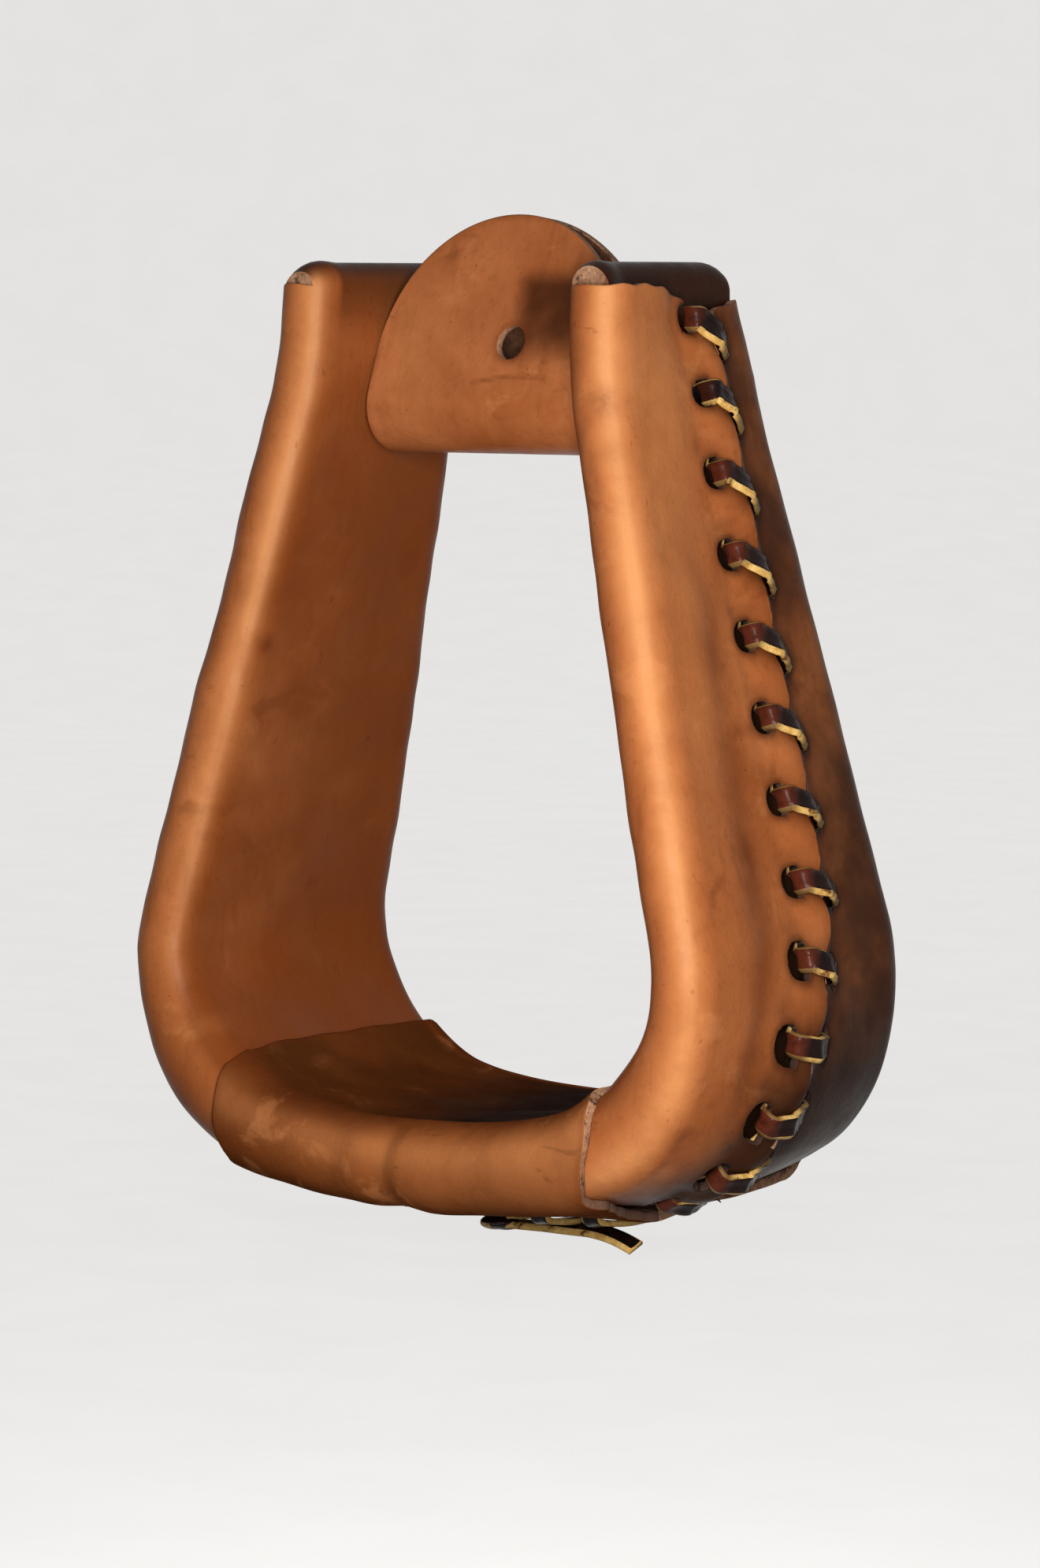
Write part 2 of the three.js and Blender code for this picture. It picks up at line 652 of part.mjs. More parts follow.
// The tab: the inner leather's top, folded over the wood's tip and down behind the laced halves
function tabSolid(side) {
  const innerFace = bowSection(LEG_TOP, 0).inner;
  const outerAt = (place) => bowSection(place, 0).outer - layer;
  const half = NECK_DEPTH / 2 - TAB_INSET;
  const root = LEG_TOP - TAB_TUCK / 3;
  const end = LEG_TOP - TAB_TUCK + 2 * GAP;
  const neck = LEG_TOP - NECK_STRAIGHT;
  const profile = (drop) => {
    const top = LEG_TOP - drop;
    const outerFace = outerAt(LEG_TOP);
    const middle = (innerFace + outerFace) / 2;
    const skinRadius = (outerFace - innerFace) / 2;
    const arc = (radius, steps) =>
      Array.from({ length: steps + 1 }, (_, i) => {
        const angle = Math.PI - (Math.PI * i) / steps;
        return [top + radius * Math.sin(angle), middle + radius * Math.cos(angle)];
      });
    return [
      [root, innerFace + GAP / 3],
      [top - TAB_ROOT_OVERLAP, innerFace + GAP / 3],
      ...arc(skinRadius, 8),
      [neck, outerAt(neck)],
      [end, outerAt(end)],
      [end, outerAt(end) - LEATHER],
      [neck, outerAt(neck) - LEATHER],
      ...arc(skinRadius - LEATHER, 8).reverse(),
      [top - TAB_ROOT_OVERLAP, innerFace + LEATHER - GAP / 3],
      [root, innerFace + LEATHER - GAP / 3],
    ];
  };
  const roundFrom = TAB_SLICES[2];
  const outlines = TAB_SLICES.map((share) =>
    profile(TAB_END_DROP * ramp(Math.abs(share), roundFrom, 1) ** 2),
  );
  const rings = TAB_SLICES.map((share, i) =>
    outlines[i].map(([place, out]) => onBow(side * place, share * half, out)),
  );
  return toSolid(loft(rings, outlines));
}

// Leg cover: one leather from the middle of the tread, up the leg and over its top
function makeLegCover(side) {
  const butt = SEAM_SLIT / 2;
  const places = [butt, ...STATIONS.slice(1)].map((place) => side * place);
  const sheath = toSolid(
    alongBow(places, (place) =>
      coverOutline(place, bowSection(place, 0), bowSection(place, LEATHER), legSeam(place), FLESH_STEPS),
    ),
  );
  const slots = legStitches.flatMap(({ from, to, enter, leave }) => [
    slotCutter(side * from, enter, -1, legOuter(from, enter)),
    slotCutter(side * to, leave, 1, legOuter(to, leave)),
  ]);
  const boltHole = crossCylinder(
    BOLT_DIAMETER / 2 + GAP,
    side > 0 ? 0 : -neckX,
    side > 0 ? neckX : 0,
  );
  return cutAll(sheath, [topTrim(side), ...slots, toSolid(boltHole)]).add(tabSolid(side));
}

function makeLegLace(side) {
  const stitches = side > 0 ? legStitches : legStitches.map(mirrorStitch);
  const points = lacePoints(stitches, legOuter, legSeam);
  const first = points[0];
  const last = points[points.length - 1];
  const start = { ...first, place: first.place + side * LACE_THICKNESS, y: first.y + LACE_TUCK };
  const finish = { ...last, place: last.place - side * LACE_TUCK, y: last.y - LACE_TUCK };
  start.out = underLace(start.place, start.y, legOuter);
  finish.out = underLace(finish.place, finish.y, legOuter);
  return strip([start, ...points, finish]);
}

// Tread cover: one leather round the tread, over the ends of the leg covers, laced along its underside
const treadSkin = (place) => bowSection(place, -layer);
const treadOuter = (place, y) => treadSkin(place).outer + crownAt(place, y);
const sideStitches = Array.from({ length: TREAD_STITCHES_A_SIDE }, (_, i) => {
  const from = TREAD_PITCH * (TREAD_STITCHES_A_SIDE - i - 0.5);
  return { from, to: from - TREAD_SLANT };
});
const strandStitches = (side) =>
  sideStitches.map(({ from, to }, i) => ({
    from: side * from,
    to: side * to,
    enter: treadSeam(from).back,
    leave: treadSeam(to).front,
    close: i === TREAD_STITCHES_A_SIDE - 1,
  }));

function endTrim(side) {
  const reach = LEG_THICKNESS;
  const corner = (place, out) => {
    const point = onBow(side * place, 0, out);
    return new THREE.Vector2(point.x, point.z);
  };
  const slope = (TREAD_COVER_TOP - TREAD_COVER_UNDER) / LEG_THICKNESS;
  const middle = (TREAD_COVER_TOP + TREAD_COVER_UNDER) / 2;
  const beyond = WIDEST;
  const outline = new THREE.Shape([
    corner(middle + slope * reach, -reach),
    corner(middle, 0),
    corner(middle - slope * 2 * reach, 2 * reach),
    corner((TREAD_COVER_TOP + beyond) / 2, 3 * reach),
    corner(beyond, 0),
    corner(beyond, -reach),
  ]);
  const trim = new THREE.ExtrudeGeometry(outline, { depth: 2 * TREAD_DEPTH, bevelEnabled: false });
  trim.rotateX(Math.PI / 2);
  trim.translate(0, TREAD_DEPTH, 0);
  return toSolid(trim);
}

function makeTreadCover() {
  const last = STATIONS.findIndex((place) => place > TREAD_COVER_TOP + LEATHER);
  const half = STATIONS.slice(1, last + 1);
  const places = [...half.map((place) => -place).reverse(), 0, ...half];
  const band = toSolid(
    alongBow(places, (place) =>
      coverOutline(place, treadSkin(place), bowSection(place, -GAP), treadSeam(place), EDGE_STEPS),
    ),
  );
  const slots = [...strandStitches(-1), ...strandStitches(1)].flatMap(
    ({ from, to, enter, leave, close }) => [
      slotCutter(from, enter, 1, treadOuter(from, enter)),
      ...(close ? [] : [slotCutter(to, leave, -1, treadOuter(to, leave))]),
    ],
  );
  return cutAll(band, [endTrim(-1), endTrim(1), ...slots]);
}

// Tread lace: a strand from each end, tied in a lump at the middle, and the loose tail of one of them, which runs
// along the tread over the stitches and droops at its end
const overTread = (place, y) => treadOuter(place, y) + ridgeAt(treadSeam(place), y) + LACE_LIFT;

function knotSolid() {
  const lump = new THREE.SphereGeometry(1, 12, 8);
  lump.rotateX(Math.PI / 2);
  const position = lump.attributes.position;
  for (let i = 0; i < position.count; i++) {
    const point = onBow(
      KNOT.at + (position.getX(i) * KNOT.length) / 2,
      KNOT.y + (position.getY(i) * KNOT.width) / 2,
      overTread(KNOT.at, KNOT.y) + (KNOT.height * (1 - position.getZ(i))) / 2,
    );
    position.setXYZ(i, point.x, point.y, point.z);
  }
  return lump;
}

function tailPoints() {
  const overStitches = 1.5 * LACE_THICKNESS + GAP;
  return Array.from({ length: TAIL_STEPS + 1 }, (_, i) => {
    const share = i / TAIL_STEPS;
    const place = KNOT.at + TAIL_LENGTH * share;
    const droop = TAIL_DROOP * ramp(share, TAIL_BEND_SHARE, 1) ** 2;
    return { place, y: KNOT.y, out: overTread(place, KNOT.y) + overStitches + droop };
  });
}

function makeTreadLace() {
  const strand = (side) => {
    const stitches = strandStitches(side);
    const closing = stitches[stitches.length - 1];
    closing.to = KNOT.at + side;
    closing.leave = KNOT.y - LACE_BEND;
    const points = lacePoints(stitches, treadOuter, treadSeam);
    const first = points[0];
    const start = { ...first, place: first.place + side * LACE_THICKNESS, y: TREAD_SEAM_Y };
    return toSolid(strip([start, ...points]));
  };
  return strand(-1)
    .add(strand(1))
    .add(toSolid(knotSolid()))
    .add(toSolid(strip(tailPoints(), true)));
}

// Bolt, with a low domed head on the left and a thin nut on the right, and its two washers
function makeBolt() {
  const shank = BOLT_DIAMETER / 2;
  const head = HEAD_DIAMETER / 2;
  const headFace = -(headSeat.washer + WASHER_THICKNESS + GAP);
  const profile = [
    ...HEAD_DOME.map(([across, height]) => [head * across, headFace - HEAD_HEIGHT * height]),
    [shank, headFace],
    [shank, nutSeat.brim - END_CHAMFER],
    [shank - END_CHAMFER, nutSeat.brim],
    [0, nutSeat.brim],
  ].map(([radius, x]) => new THREE.Vector2(radius, x));
  const bolt = new THREE.LatheGeometry(profile, ROUND_STEPS);
  bolt.rotateZ(-Math.PI / 2);
  return bolt;
}

function ring(outerRadius, innerRadius, fromX, toX, sides = ROUND_STEPS) {
  const body = toSolid(crossCylinder(outerRadius, fromX, toX, sides));
  return body.subtract(toSolid(crossCylinder(innerRadius, fromX - 1, toX + 1)));
}

function makeRoller() {
  const half = legSurfaceX(ROLLER_DIAMETER / 2, -LEG_THICKNESS / 2) - ROLLER_PLAY;
  return ring(ROLLER_DIAMETER / 2, BOLT_DIAMETER / 2 + GAP, -half, half);
}

// Bolt cover: seen from the side a loop round the roller whose two ears rise and close together, seen from the
// front a half-round top on straight sides
function makeBoltCover() {
  const fold = ROLLER_DIAMETER / 2 + GAP;
  const halfWidth = legSurfaceX(EAR_HOLE_HEIGHT, -LEG_THICKNESS / 2) - COVER_PLAY;
  const top = EAR_CENTRE_HEIGHT + halfWidth;
  const faceOutline = (faceRadius, topY) => {
    const far = Math.hypot(top, topY);
    const touch = Math.atan2(topY, top) + Math.acos(faceRadius / far);
    const round = Array.from({ length: 2 * HALF_FOLD_STEPS + 1 }, (_, i) => {
      const angle = Math.PI + ((Math.PI - touch) * (i - HALF_FOLD_STEPS)) / HALF_FOLD_STEPS;
      return [faceRadius * Math.sin(angle), faceRadius * Math.cos(angle)];
    });
    return [[topY, top], ...round, [-topY, top]];
  };
  const outside = faceOutline(fold + LEATHER, EAR_TOP_GAP / 2 + LEATHER);
  const inside = faceOutline(fold, EAR_TOP_GAP / 2);
  const loopShape = new THREE.Shape(
    [...outside, ...inside.reverse()].map(([y, z]) => new THREE.Vector2(y, z)),
  );
  const loop = new THREE.ExtrudeGeometry(loopShape, { depth: 2 * halfWidth, bevelEnabled: false });
  loop.rotateX(Math.PI / 2);
  loop.rotateZ(Math.PI / 2);
  loop.translate(-halfWidth, 0, 0);
  const face = new THREE.Shape();
  face.moveTo(-halfWidth, -2 * fold);
  face.lineTo(halfWidth, -2 * fold);
  face.lineTo(halfWidth, EAR_CENTRE_HEIGHT);
  face.absarc(0, EAR_CENTRE_HEIGHT, halfWidth, 0, Math.PI);
  const front = new THREE.ExtrudeGeometry(face, {
    depth: 4 * fold,
    bevelEnabled: false,
    curveSegments: EAR_STEPS,
  });
  front.rotateX(Math.PI / 2);
  front.translate(0, 2 * fold, 0);
  const hole = new THREE.CylinderGeometry(
    EAR_HOLE_DIAMETER / 2,
    EAR_HOLE_DIAMETER / 2,
    4 * fold,
    ROUND_STEPS,
  );
  hole.translate(EAR_HOLE_X, 0, EAR_HOLE_HEIGHT);
  const blank = toSolid(loop).intersect(toSolid(front)).subtract(toSolid(hole));
  const geometry = toGeometry(blank);
  geometry.rotateX(-EAR_LEAN);
  return geometry;
}

addPiece("bow_core", toGeometry(makeCore()), ashWood);
for (const [name, side] of [
  ["left", -1],
  ["right", 1],
]) {
  addPiece(`leg_cover_${name}`, toGeometry(makeLegCover(side)), saddleTan);
  addPiece(`leg_lace_${name}`, makeLegLace(side), laceRed);
}
addPiece("tread_cover", toGeometry(makeTreadCover()), shadedTan);
addPiece("tread_lace", toGeometry(makeTreadLace()), laceRed);
addPiece("bolt", makeBolt(), steel);
const washerBore = BOLT_DIAMETER / 2 + GAP;
const washerEnd = (seat) => seat.washer + WASHER_THICKNESS;
addPiece(
  "washer_left",
  toGeometry(ring(WASHER_DIAMETER / 2, washerBore, -washerEnd(headSeat), -headSeat.washer)),
  steel,
);
addPiece(
  "washer_right",
  toGeometry(ring(WASHER_DIAMETER / 2, washerBore, nutSeat.washer, washerEnd(nutSeat))),
  steel,
);
const nutCorner = NUT_FLATS / Math.sqrt(3);
const nutFrom = washerEnd(nutSeat) + GAP;
addPiece("nut", toGeometry(ring(nutCorner, washerBore, nutFrom, nutFrom + NUT_HEIGHT, 6)), steel);
addPiece("roller", toGeometry(makeRoller()), ashWood);
addPiece("bolt_cover", makeBoltCover(), saddleTan);

export default group;
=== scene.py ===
import math

import bpy
import numpy as np
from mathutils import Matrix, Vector


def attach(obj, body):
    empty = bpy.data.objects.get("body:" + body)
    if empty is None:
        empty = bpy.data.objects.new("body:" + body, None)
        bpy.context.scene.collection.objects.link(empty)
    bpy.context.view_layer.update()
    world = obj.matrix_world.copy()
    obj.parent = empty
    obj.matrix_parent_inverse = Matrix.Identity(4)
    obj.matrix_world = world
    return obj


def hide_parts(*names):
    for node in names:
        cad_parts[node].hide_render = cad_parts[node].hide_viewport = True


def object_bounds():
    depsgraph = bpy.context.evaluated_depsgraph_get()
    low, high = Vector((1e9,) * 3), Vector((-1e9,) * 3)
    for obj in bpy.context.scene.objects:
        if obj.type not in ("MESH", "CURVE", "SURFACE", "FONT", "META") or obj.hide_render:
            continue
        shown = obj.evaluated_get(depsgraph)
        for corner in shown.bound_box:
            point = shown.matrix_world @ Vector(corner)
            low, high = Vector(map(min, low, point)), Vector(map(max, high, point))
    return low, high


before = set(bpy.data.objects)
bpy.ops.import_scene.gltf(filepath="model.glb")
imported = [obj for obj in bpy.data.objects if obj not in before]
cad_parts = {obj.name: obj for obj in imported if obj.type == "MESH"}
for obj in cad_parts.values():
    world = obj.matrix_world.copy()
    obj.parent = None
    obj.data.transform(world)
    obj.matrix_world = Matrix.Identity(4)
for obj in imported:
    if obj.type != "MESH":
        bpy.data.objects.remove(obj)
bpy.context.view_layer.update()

# Wooden bow: one strip of ash, steamed and bent to a U with splayed legs. Leather hides all of it. Its wood is coloured
# near black as painted shade, so that the bottoms of the lace slots, where it can be seen, look dark.
node_tree = None


def add(kind, settings=None, **sockets):
    made = node_tree.nodes.new("ShaderNode" + kind)
    for key, value in (settings or {}).items():
        setattr(made, key, value)
    for key, value in sockets.items():
        socket = made.inputs[key.replace("_", " ")]
        if isinstance(value, bpy.types.NodeSocket):
            node_tree.links.new(value, socket)
        else:
            socket.default_value = value
    return made


def new_finish(name):
    global node_tree
    made = bpy.data.materials.new(name)
    made.use_nodes = True
    node_tree = made.node_tree
    return made, node_tree.nodes["Principled BSDF"]


def srgb(red, green, blue):
    linear = (v / 255 / 12.92 if v < 11 else ((v / 255 + 0.055) / 1.055) ** 2.4 for v in (red, green, blue))
    return tuple(linear) + (1.0,)


def place_on_object():
    return add("TexCoord").outputs["Object"]


def noise(scale, detail=4.0, roughness=0.55, stretch=None, distortion=0.0):
    where = place_on_object()
    if stretch:
        where = add("Mapping", Vector=where, Scale=stretch).outputs["Vector"]
    made = add("TexNoise", Vector=where, Scale=scale, Detail=detail, Roughness=roughness, Distortion=distortion)
    return made.outputs["Fac"]


def spread(value, low, high, to_low=0.0, to_high=1.0):
    made = add("MapRange", {"interpolation_type": "SMOOTHSTEP"}, Value=value)
    for key, number in (("From Min", low), ("From Max", high), ("To Min", to_low), ("To Max", to_high)):
        made.inputs[key].default_value = number
    return made.outputs["Result"]


def math_of(operation, a, b):
    made = node_tree.nodes.new("ShaderNodeMath")
    made.operation = operation
    for socket, value in zip(made.inputs, (a, b)):
        if isinstance(value, bpy.types.NodeSocket):
            node_tree.links.new(value, socket)
        else:
            socket.default_value = value
    return made.outputs["Value"]


def mixed(share, one, other, blend="MIX"):
    made = add("Mix", {"data_type": "RGBA", "blend_type": blend})
    for socket, value in zip((made.inputs[0], made.inputs[6], made.inputs[7]), (share, one, other)):
        if isinstance(value, bpy.types.NodeSocket):
            node_tree.links.new(value, socket)
        else:
            socket.default_value = value
    return made.outputs[2]


def bump(height, strength, distance, over=None):
    made = add("Bump", Height=height, Strength=strength, Distance=distance)
    if over is not None:
        node_tree.links.new(over, made.inputs["Normal"])
    return made.outputs["Normal"]


def wire(shader, **sockets):
    for key, value in sockets.items():
        node_tree.links.new(value, shader.inputs[key.replace("_", " ")])


# Near-black wood: painted shade for the bottoms of the lace slots
slot_shade_wood, shader = new_finish("slot_shade_ash")
grain = noise(240, 5, 0.6, stretch=(0.25, 2.2, 0.25))
pores = noise(900, 3, 0.6, stretch=(0.1, 2.0, 0.1))
tone = mixed(spread(grain, 0.3, 0.7), srgb(26, 15, 9), srgb(44, 26, 16))
wire(
    shader,
    Base_Color=mixed(spread(pores, 0.55, 0.75, 0, 0.6), tone, srgb(14, 8, 5)),
    Roughness=spread(grain, 0.2, 0.8, 0.75, 0.55),
    Normal=bump(pores, 0.3, 0.0002),
)
shader.inputs["Specular IOR Level"].default_value = 0.05
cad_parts["bow_core"].data.materials.clear()
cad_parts["bow_core"].data.materials.append(slot_shade_wood)

# Leg covers: one skirting leather on each leg, drawn round the wood wet and dried hard. Its two edges meet in a raised
# seam on the leg's outer face. The inner leather is folded over the wood's tip and tucked in behind the seam's halves.
MM = 0.001
LEATHER = 2.2
GAP = 0.3
NECK_INSIDE = 66.0
FOOT_INSIDE = 129.0
LEG_THICKNESS = 15.4
CORNER_SWELL = 2.7
CORNER_SWELL_REACH = 34.0
SPLAY = math.radians(14.3)
NECK_STRAIGHT = 8.0
NECK_BEND = 80.0
CORNER_RADIUS = 39.5
TREAD_RADIUS = 226.0
NECK_DEPTH = 50.6
TREAD_DEPTH = 76.6
EDGE_ROUND = 7.8
TREAD_CROWN = 1.0
CORNER_CROWN = 3.8
TOP_THINNING = 2.8
TOP_THINNING_LENGTH = 20.0
BAR_BELOW_TOP = 26.0

wide_x = (FOOT_INSIDE + LEG_THICKNESS) / 2
neck_x = (NECK_INSIDE + LEG_THICKNESS) / 2
tread_turn = math.asin((wide_x - CORNER_RADIUS) / (TREAD_RADIUS - CORNER_RADIUS))
leg_run = (wide_x - neck_x - (CORNER_RADIUS + NECK_BEND) * (1 - math.cos(SPLAY))) / math.sin(SPLAY)
BOW_RUNS = [
    (TREAD_RADIUS * tread_turn, TREAD_RADIUS),
    (CORNER_RADIUS * (math.pi / 2 - tread_turn + SPLAY), CORNER_RADIUS),
    (leg_run, math.inf),
    (NECK_BEND * SPLAY, -NECK_BEND),
    (NECK_STRAIGHT, math.inf),
]
LEG_TOP = sum(length for length, _ in BOW_RUNS)
CORNER_MIDDLE = BOW_RUNS[0][0] + CORNER_RADIUS * (math.pi / 4 - tread_turn)
WIDEST = BOW_RUNS[0][0] + CORNER_RADIUS * (math.pi / 2 - tread_turn)


def bow_line(place):
    side = np.where(place < 0, -1.0, 1.0)
    left = np.abs(place)
    x, z, heading = np.zeros_like(left), np.zeros_like(left), np.zeros_like(left)
    for i, (length, radius) in enumerate(BOW_RUNS):
        run = left if i == len(BOW_RUNS) - 1 else np.minimum(left, length)
        if math.isinf(radius):
            x = x + run * np.cos(heading)
            z = z + run * np.sin(heading)
        else:
            turned = heading + run / radius
            x = x + radius * (np.sin(turned) - np.sin(heading))
            z = z + radius * (np.cos(heading) - np.cos(turned))
            heading = turned
        left = left - run
    return side * x, z, side * np.sin(heading), -np.cos(heading)


bar_rise = float(bow_line(np.array([LEG_TOP]))[1][0]) - BAR_BELOW_TOP


def on_bow(place, y, out):
    place, y, out = np.broadcast_arrays(*(np.asarray(v, float) for v in (place, y, out)))
    x, z, out_x, out_z = bow_line(place)
    return np.stack([x + out * out_x, y, z - bar_rise + out * out_z], axis=-1)


def ramp(value, start, end):
    return np.clip((np.asarray(value, float) - start) / (end - start), 0, 1)


def smooth(value, start, end):
    share = ramp(value, start, end)
    return share * share * (3 - 2 * share)


def bell(distance, width):
    return np.exp(-((np.asarray(distance, float) / width) ** 2))


def half_depth(place):
    return (TREAD_DEPTH + (NECK_DEPTH - TREAD_DEPTH) * ramp(np.abs(place), WIDEST, LEG_TOP)) / 2


def face_out(place):
    share = np.minimum(np.abs(np.abs(place) - CORNER_MIDDLE) / CORNER_SWELL_REACH, 1)
    return LEG_THICKNESS / 2 + CORNER_SWELL * (1 + np.cos(math.pi * share)) / 2


def thinning(place):
    return TOP_THINNING * ramp(np.abs(place), LEG_TOP - TOP_THINNING_LENGTH, LEG_TOP)


def crown_at(place, y):
    distance = np.abs(place)
    rise = TREAD_CROWN + (CORNER_CROWN - TREAD_CROWN) * ramp(distance, 13.6, CORNER_MIDDLE)
    crown = np.where(distance < CORNER_MIDDLE, rise, CORNER_CROWN * ramp(distance, WIDEST, CORNER_MIDDLE))
    return crown * np.maximum(1 - (y / (half_depth(place) - EDGE_ROUND)) ** 2, 0)


# Slow hand-made unevenness: a sum of a few long waves over the surface
def unevenness(points, length, seed, count=7):
    rng = np.random.default_rng(seed)
    total = np.zeros(points.shape[:-1])
    for _ in range(count):
        direction = rng.normal(size=3)
        direction *= 2 * math.pi / (length * rng.uniform(0.6, 1.6) * np.linalg.norm(direction))
        total += np.sin(points @ direction + rng.uniform(0, 2 * math.pi))
    return total / math.sqrt(count)


# Section of a leather on the bow, column by column, in five zones: the outer face in front of the seam, the front edge,
# the inner face, the back edge and the outer face behind the seam. u runs along each from 0 to 1.
def wrap(place, zone, u, seam_y, lift=0.0):
    half = half_depth(place) + lift
    face = face_out(place) + lift
    thin = thinning(place)
    fuller = 1 - 0.75 * np.where(zone == 0, smooth(u, 0.3, 0.75), zone == 1)
    thin = thin * fuller
    round_y = EDGE_ROUND + lift
    flat = half - round_y
    middle = -thin / 2
    reach = face - thin / 2
    slit = 0.15
    angle = np.where(zone == 1, u * math.pi, (1 - u) * math.pi)
    on_edge = flat + round_y * np.sin(angle)
    edge_out = middle + reach * np.cos(angle)
    y = np.select(
        [zone == 0, zone == 1, zone == 2, zone == 3],
        [
            (seam_y - slit) + u * (-flat - seam_y + slit),
            -on_edge,
            -flat + u * 2 * flat,
            on_edge,
        ],
        flat + u * (seam_y + slit - flat),
    )
    out = np.select([(zone == 0) | (zone == 4), (zone == 1) | (zone == 3)], [face - thin, edge_out], -face)
    return y, out


def zone_columns(counts):
    zone, u = [], []
    for i, count in enumerate(counts):
        share = np.arange(count) / count
        closer = {0: share**1.25, 4: 1 - (1 - share) ** 1.25}
        zone += [i] * count
        u += list(closer.get(i, share))
    return np.array(zone + [4]), np.array(u + [1.0])


# A leather from a grid of points on its grain side and the like grid on its flesh side. Faces that are cut away leave
# an edge as thick as the leather, a little rounded. The materials are the grain side, the flesh side and the cut edge.
def leather_piece(name, outer, inner, kept, marks, materials, round_over=0.35):
    rows, columns = outer.shape[:2]
    index = np.arange(rows * columns).reshape(rows, columns)
    quads = np.stack([index[:-1, :-1], index[:-1, 1:], index[1:, 1:], index[1:, :-1]], axis=-1)[kept]
    flat_outer, flat_inner = outer.reshape(-1, 3), inner.reshape(-1, 3)
    edges = {}
    for quad in quads:
        for a, b in zip(quad, np.roll(quad, -1)):
            if (b, a) in edges:
                del edges[(b, a)]
            else:
                edges[(a, b)] = True
    middles = flat_outer[quads].mean(axis=1)
    pull = np.zeros_like(flat_outer)
    for corner in range(4):
        np.add.at(pull, quads[:, corner], middles - flat_outer[quads[:, corner]])
    border = np.array(sorted({v for edge in edges for v in edge}))
    inward = pull[border]
    through = flat_inner[border] - flat_outer[border]
    thick = np.linalg.norm(through, axis=1, keepdims=True)
    through = through / thick
    inward -= through * (inward * through).sum(axis=1, keepdims=True)
    inward /= np.linalg.norm(inward, axis=1, keepdims=True) + 1e-9
    depth = np.minimum(round_over, thick * 0.25)
    brink = flat_outer[border].copy()
    base = flat_inner[border].copy()
    flat_outer, flat_inner = flat_outer.copy(), flat_inner.copy()
    flat_outer[border] += inward * depth
    flat_inner[border] += inward * depth * 0.7
    rings = [brink + through * depth * 0.3, brink + through * depth, (brink + base) / 2, base - through * depth]
    count = rows * columns
    points = np.concatenate([flat_outer, flat_inner, *rings])
    at = {v: i for i, v in enumerate(border)}
    ring_start = [2 * count + k * len(border) for k in range(len(rings))]
    faces = [tuple(q) for q in quads] + [tuple(q[::-1] + count) for q in quads]
    slots = [0] * len(quads) + [1] * len(quads)
    for a, b in edges:
        low = [a] + [start + at[a] for start in ring_start] + [count + a]
        high = [b] + [start + at[b] for start in ring_start] + [count + b]
        for k in range(len(low) - 1):
            faces.append((high[k], low[k], low[k + 1], high[k + 1]))
            slots.append(0 if k == 0 else 2)
    used = np.zeros(len(points), bool)
    used[np.unique(np.concatenate([np.asarray(f) for f in faces]))] = True
    renumber = np.cumsum(used) - 1
    mesh = bpy.data.meshes.new(name)
    mesh.from_pydata((points[used] * MM).tolist(), [], [[int(renumber[v]) for v in f] for f in faces])
    for key, value in marks.items():
        whole = np.concatenate([value.reshape(-1)] * 2 + [value.reshape(-1)[border]] * len(rings))
        mesh.attributes.new(key, "FLOAT", "POINT").data.foreach_set("value", whole[used].astype(np.float32))
    for material in materials:
        mesh.materials.append(material)
    mesh.polygons.foreach_set("material_index", slots)
    mesh.polygons.foreach_set("use_smooth", [True] * len(faces))
    mesh.update()
    made = bpy.data.objects.new(name, mesh)
    bpy.context.scene.collection.objects.link(made)
    return made


# Unit normals of a grid of points, towards the side that the bow's outward direction names
def grid_normals(points, outward):
    along = np.gradient(points, axis=0)
    across = np.gradient(points, axis=1)
    normal = np.cross(along, across)
    normal /= np.linalg.norm(normal, axis=-1, keepdims=True) + 1e-12
    turned = np.sign((normal * outward).sum(axis=-1, keepdims=True))
    return normal * np.where(turned == 0, 1, turned)


# A row of slots in a leather: each is a crescent, straight on the seam's side and round on the far side
SLOT_HALF = 3.6
SLOT_LIP = 1.1


def slot_outline(along, away, gape):
    reach = np.where(away > 0, gape, SLOT_LIP)
    angle = np.arctan2(away / reach, along / SLOT_HALF)
    rise = np.abs(np.sin(angle)) ** 0.8 * np.sign(np.sin(angle))
    return SLOT_HALF * np.cos(angle), reach * rise


def corner_mean(grid):
    return (grid[:-1, :-1] + grid[:-1, 1:] + grid[1:, 1:] + grid[1:, :-1]) / 4


def cut_slots(place, y, kept, slots, outside):
    place, y = place.copy(), y.copy()
    kept = kept.copy()
    rim = np.zeros_like(y)
    for at, seam_side_y, side, gape in slots:
        along = place - at
        away = (y - seam_side_y) * side
        near = (np.abs(along) < SLOT_HALF + 4) & (np.abs(away) < gape + 4) & outside
        if not near.any():
            continue
        edge_along, edge_away = slot_outline(along, away, gape)
        beyond = np.hypot(along, away) - np.hypot(edge_along, edge_away)
        rim = np.maximum(rim, bell(np.maximum(beyond, 0), 1.3) * near)
        inside = near & (beyond < 0)
        full = inside[:-1, :-1] & inside[:-1, 1:] & inside[1:, 1:] & inside[1:, :-1]
        mid_along, mid_away = corner_mean(along), corner_mean(away)
        mid_edge = np.hypot(*slot_outline(mid_along, mid_away, gape))
        gone = (np.hypot(mid_along, mid_away) < mid_edge * 0.98) & near[:-1, :-1] | full
        kept &= ~gone
        touched = np.zeros_like(inside)
        untouched = np.zeros_like(inside)
        for rows in (slice(0, -1), slice(1, None)):
            for columns in (slice(0, -1), slice(1, None)):
                touched[rows, columns] |= gone
                untouched[rows, columns] |= ~gone
        brink = touched & untouched
        place = np.where(brink, at + edge_along, place)
        y = np.where(brink, seam_side_y + side * edge_away, y)
    return place, y, kept, rim


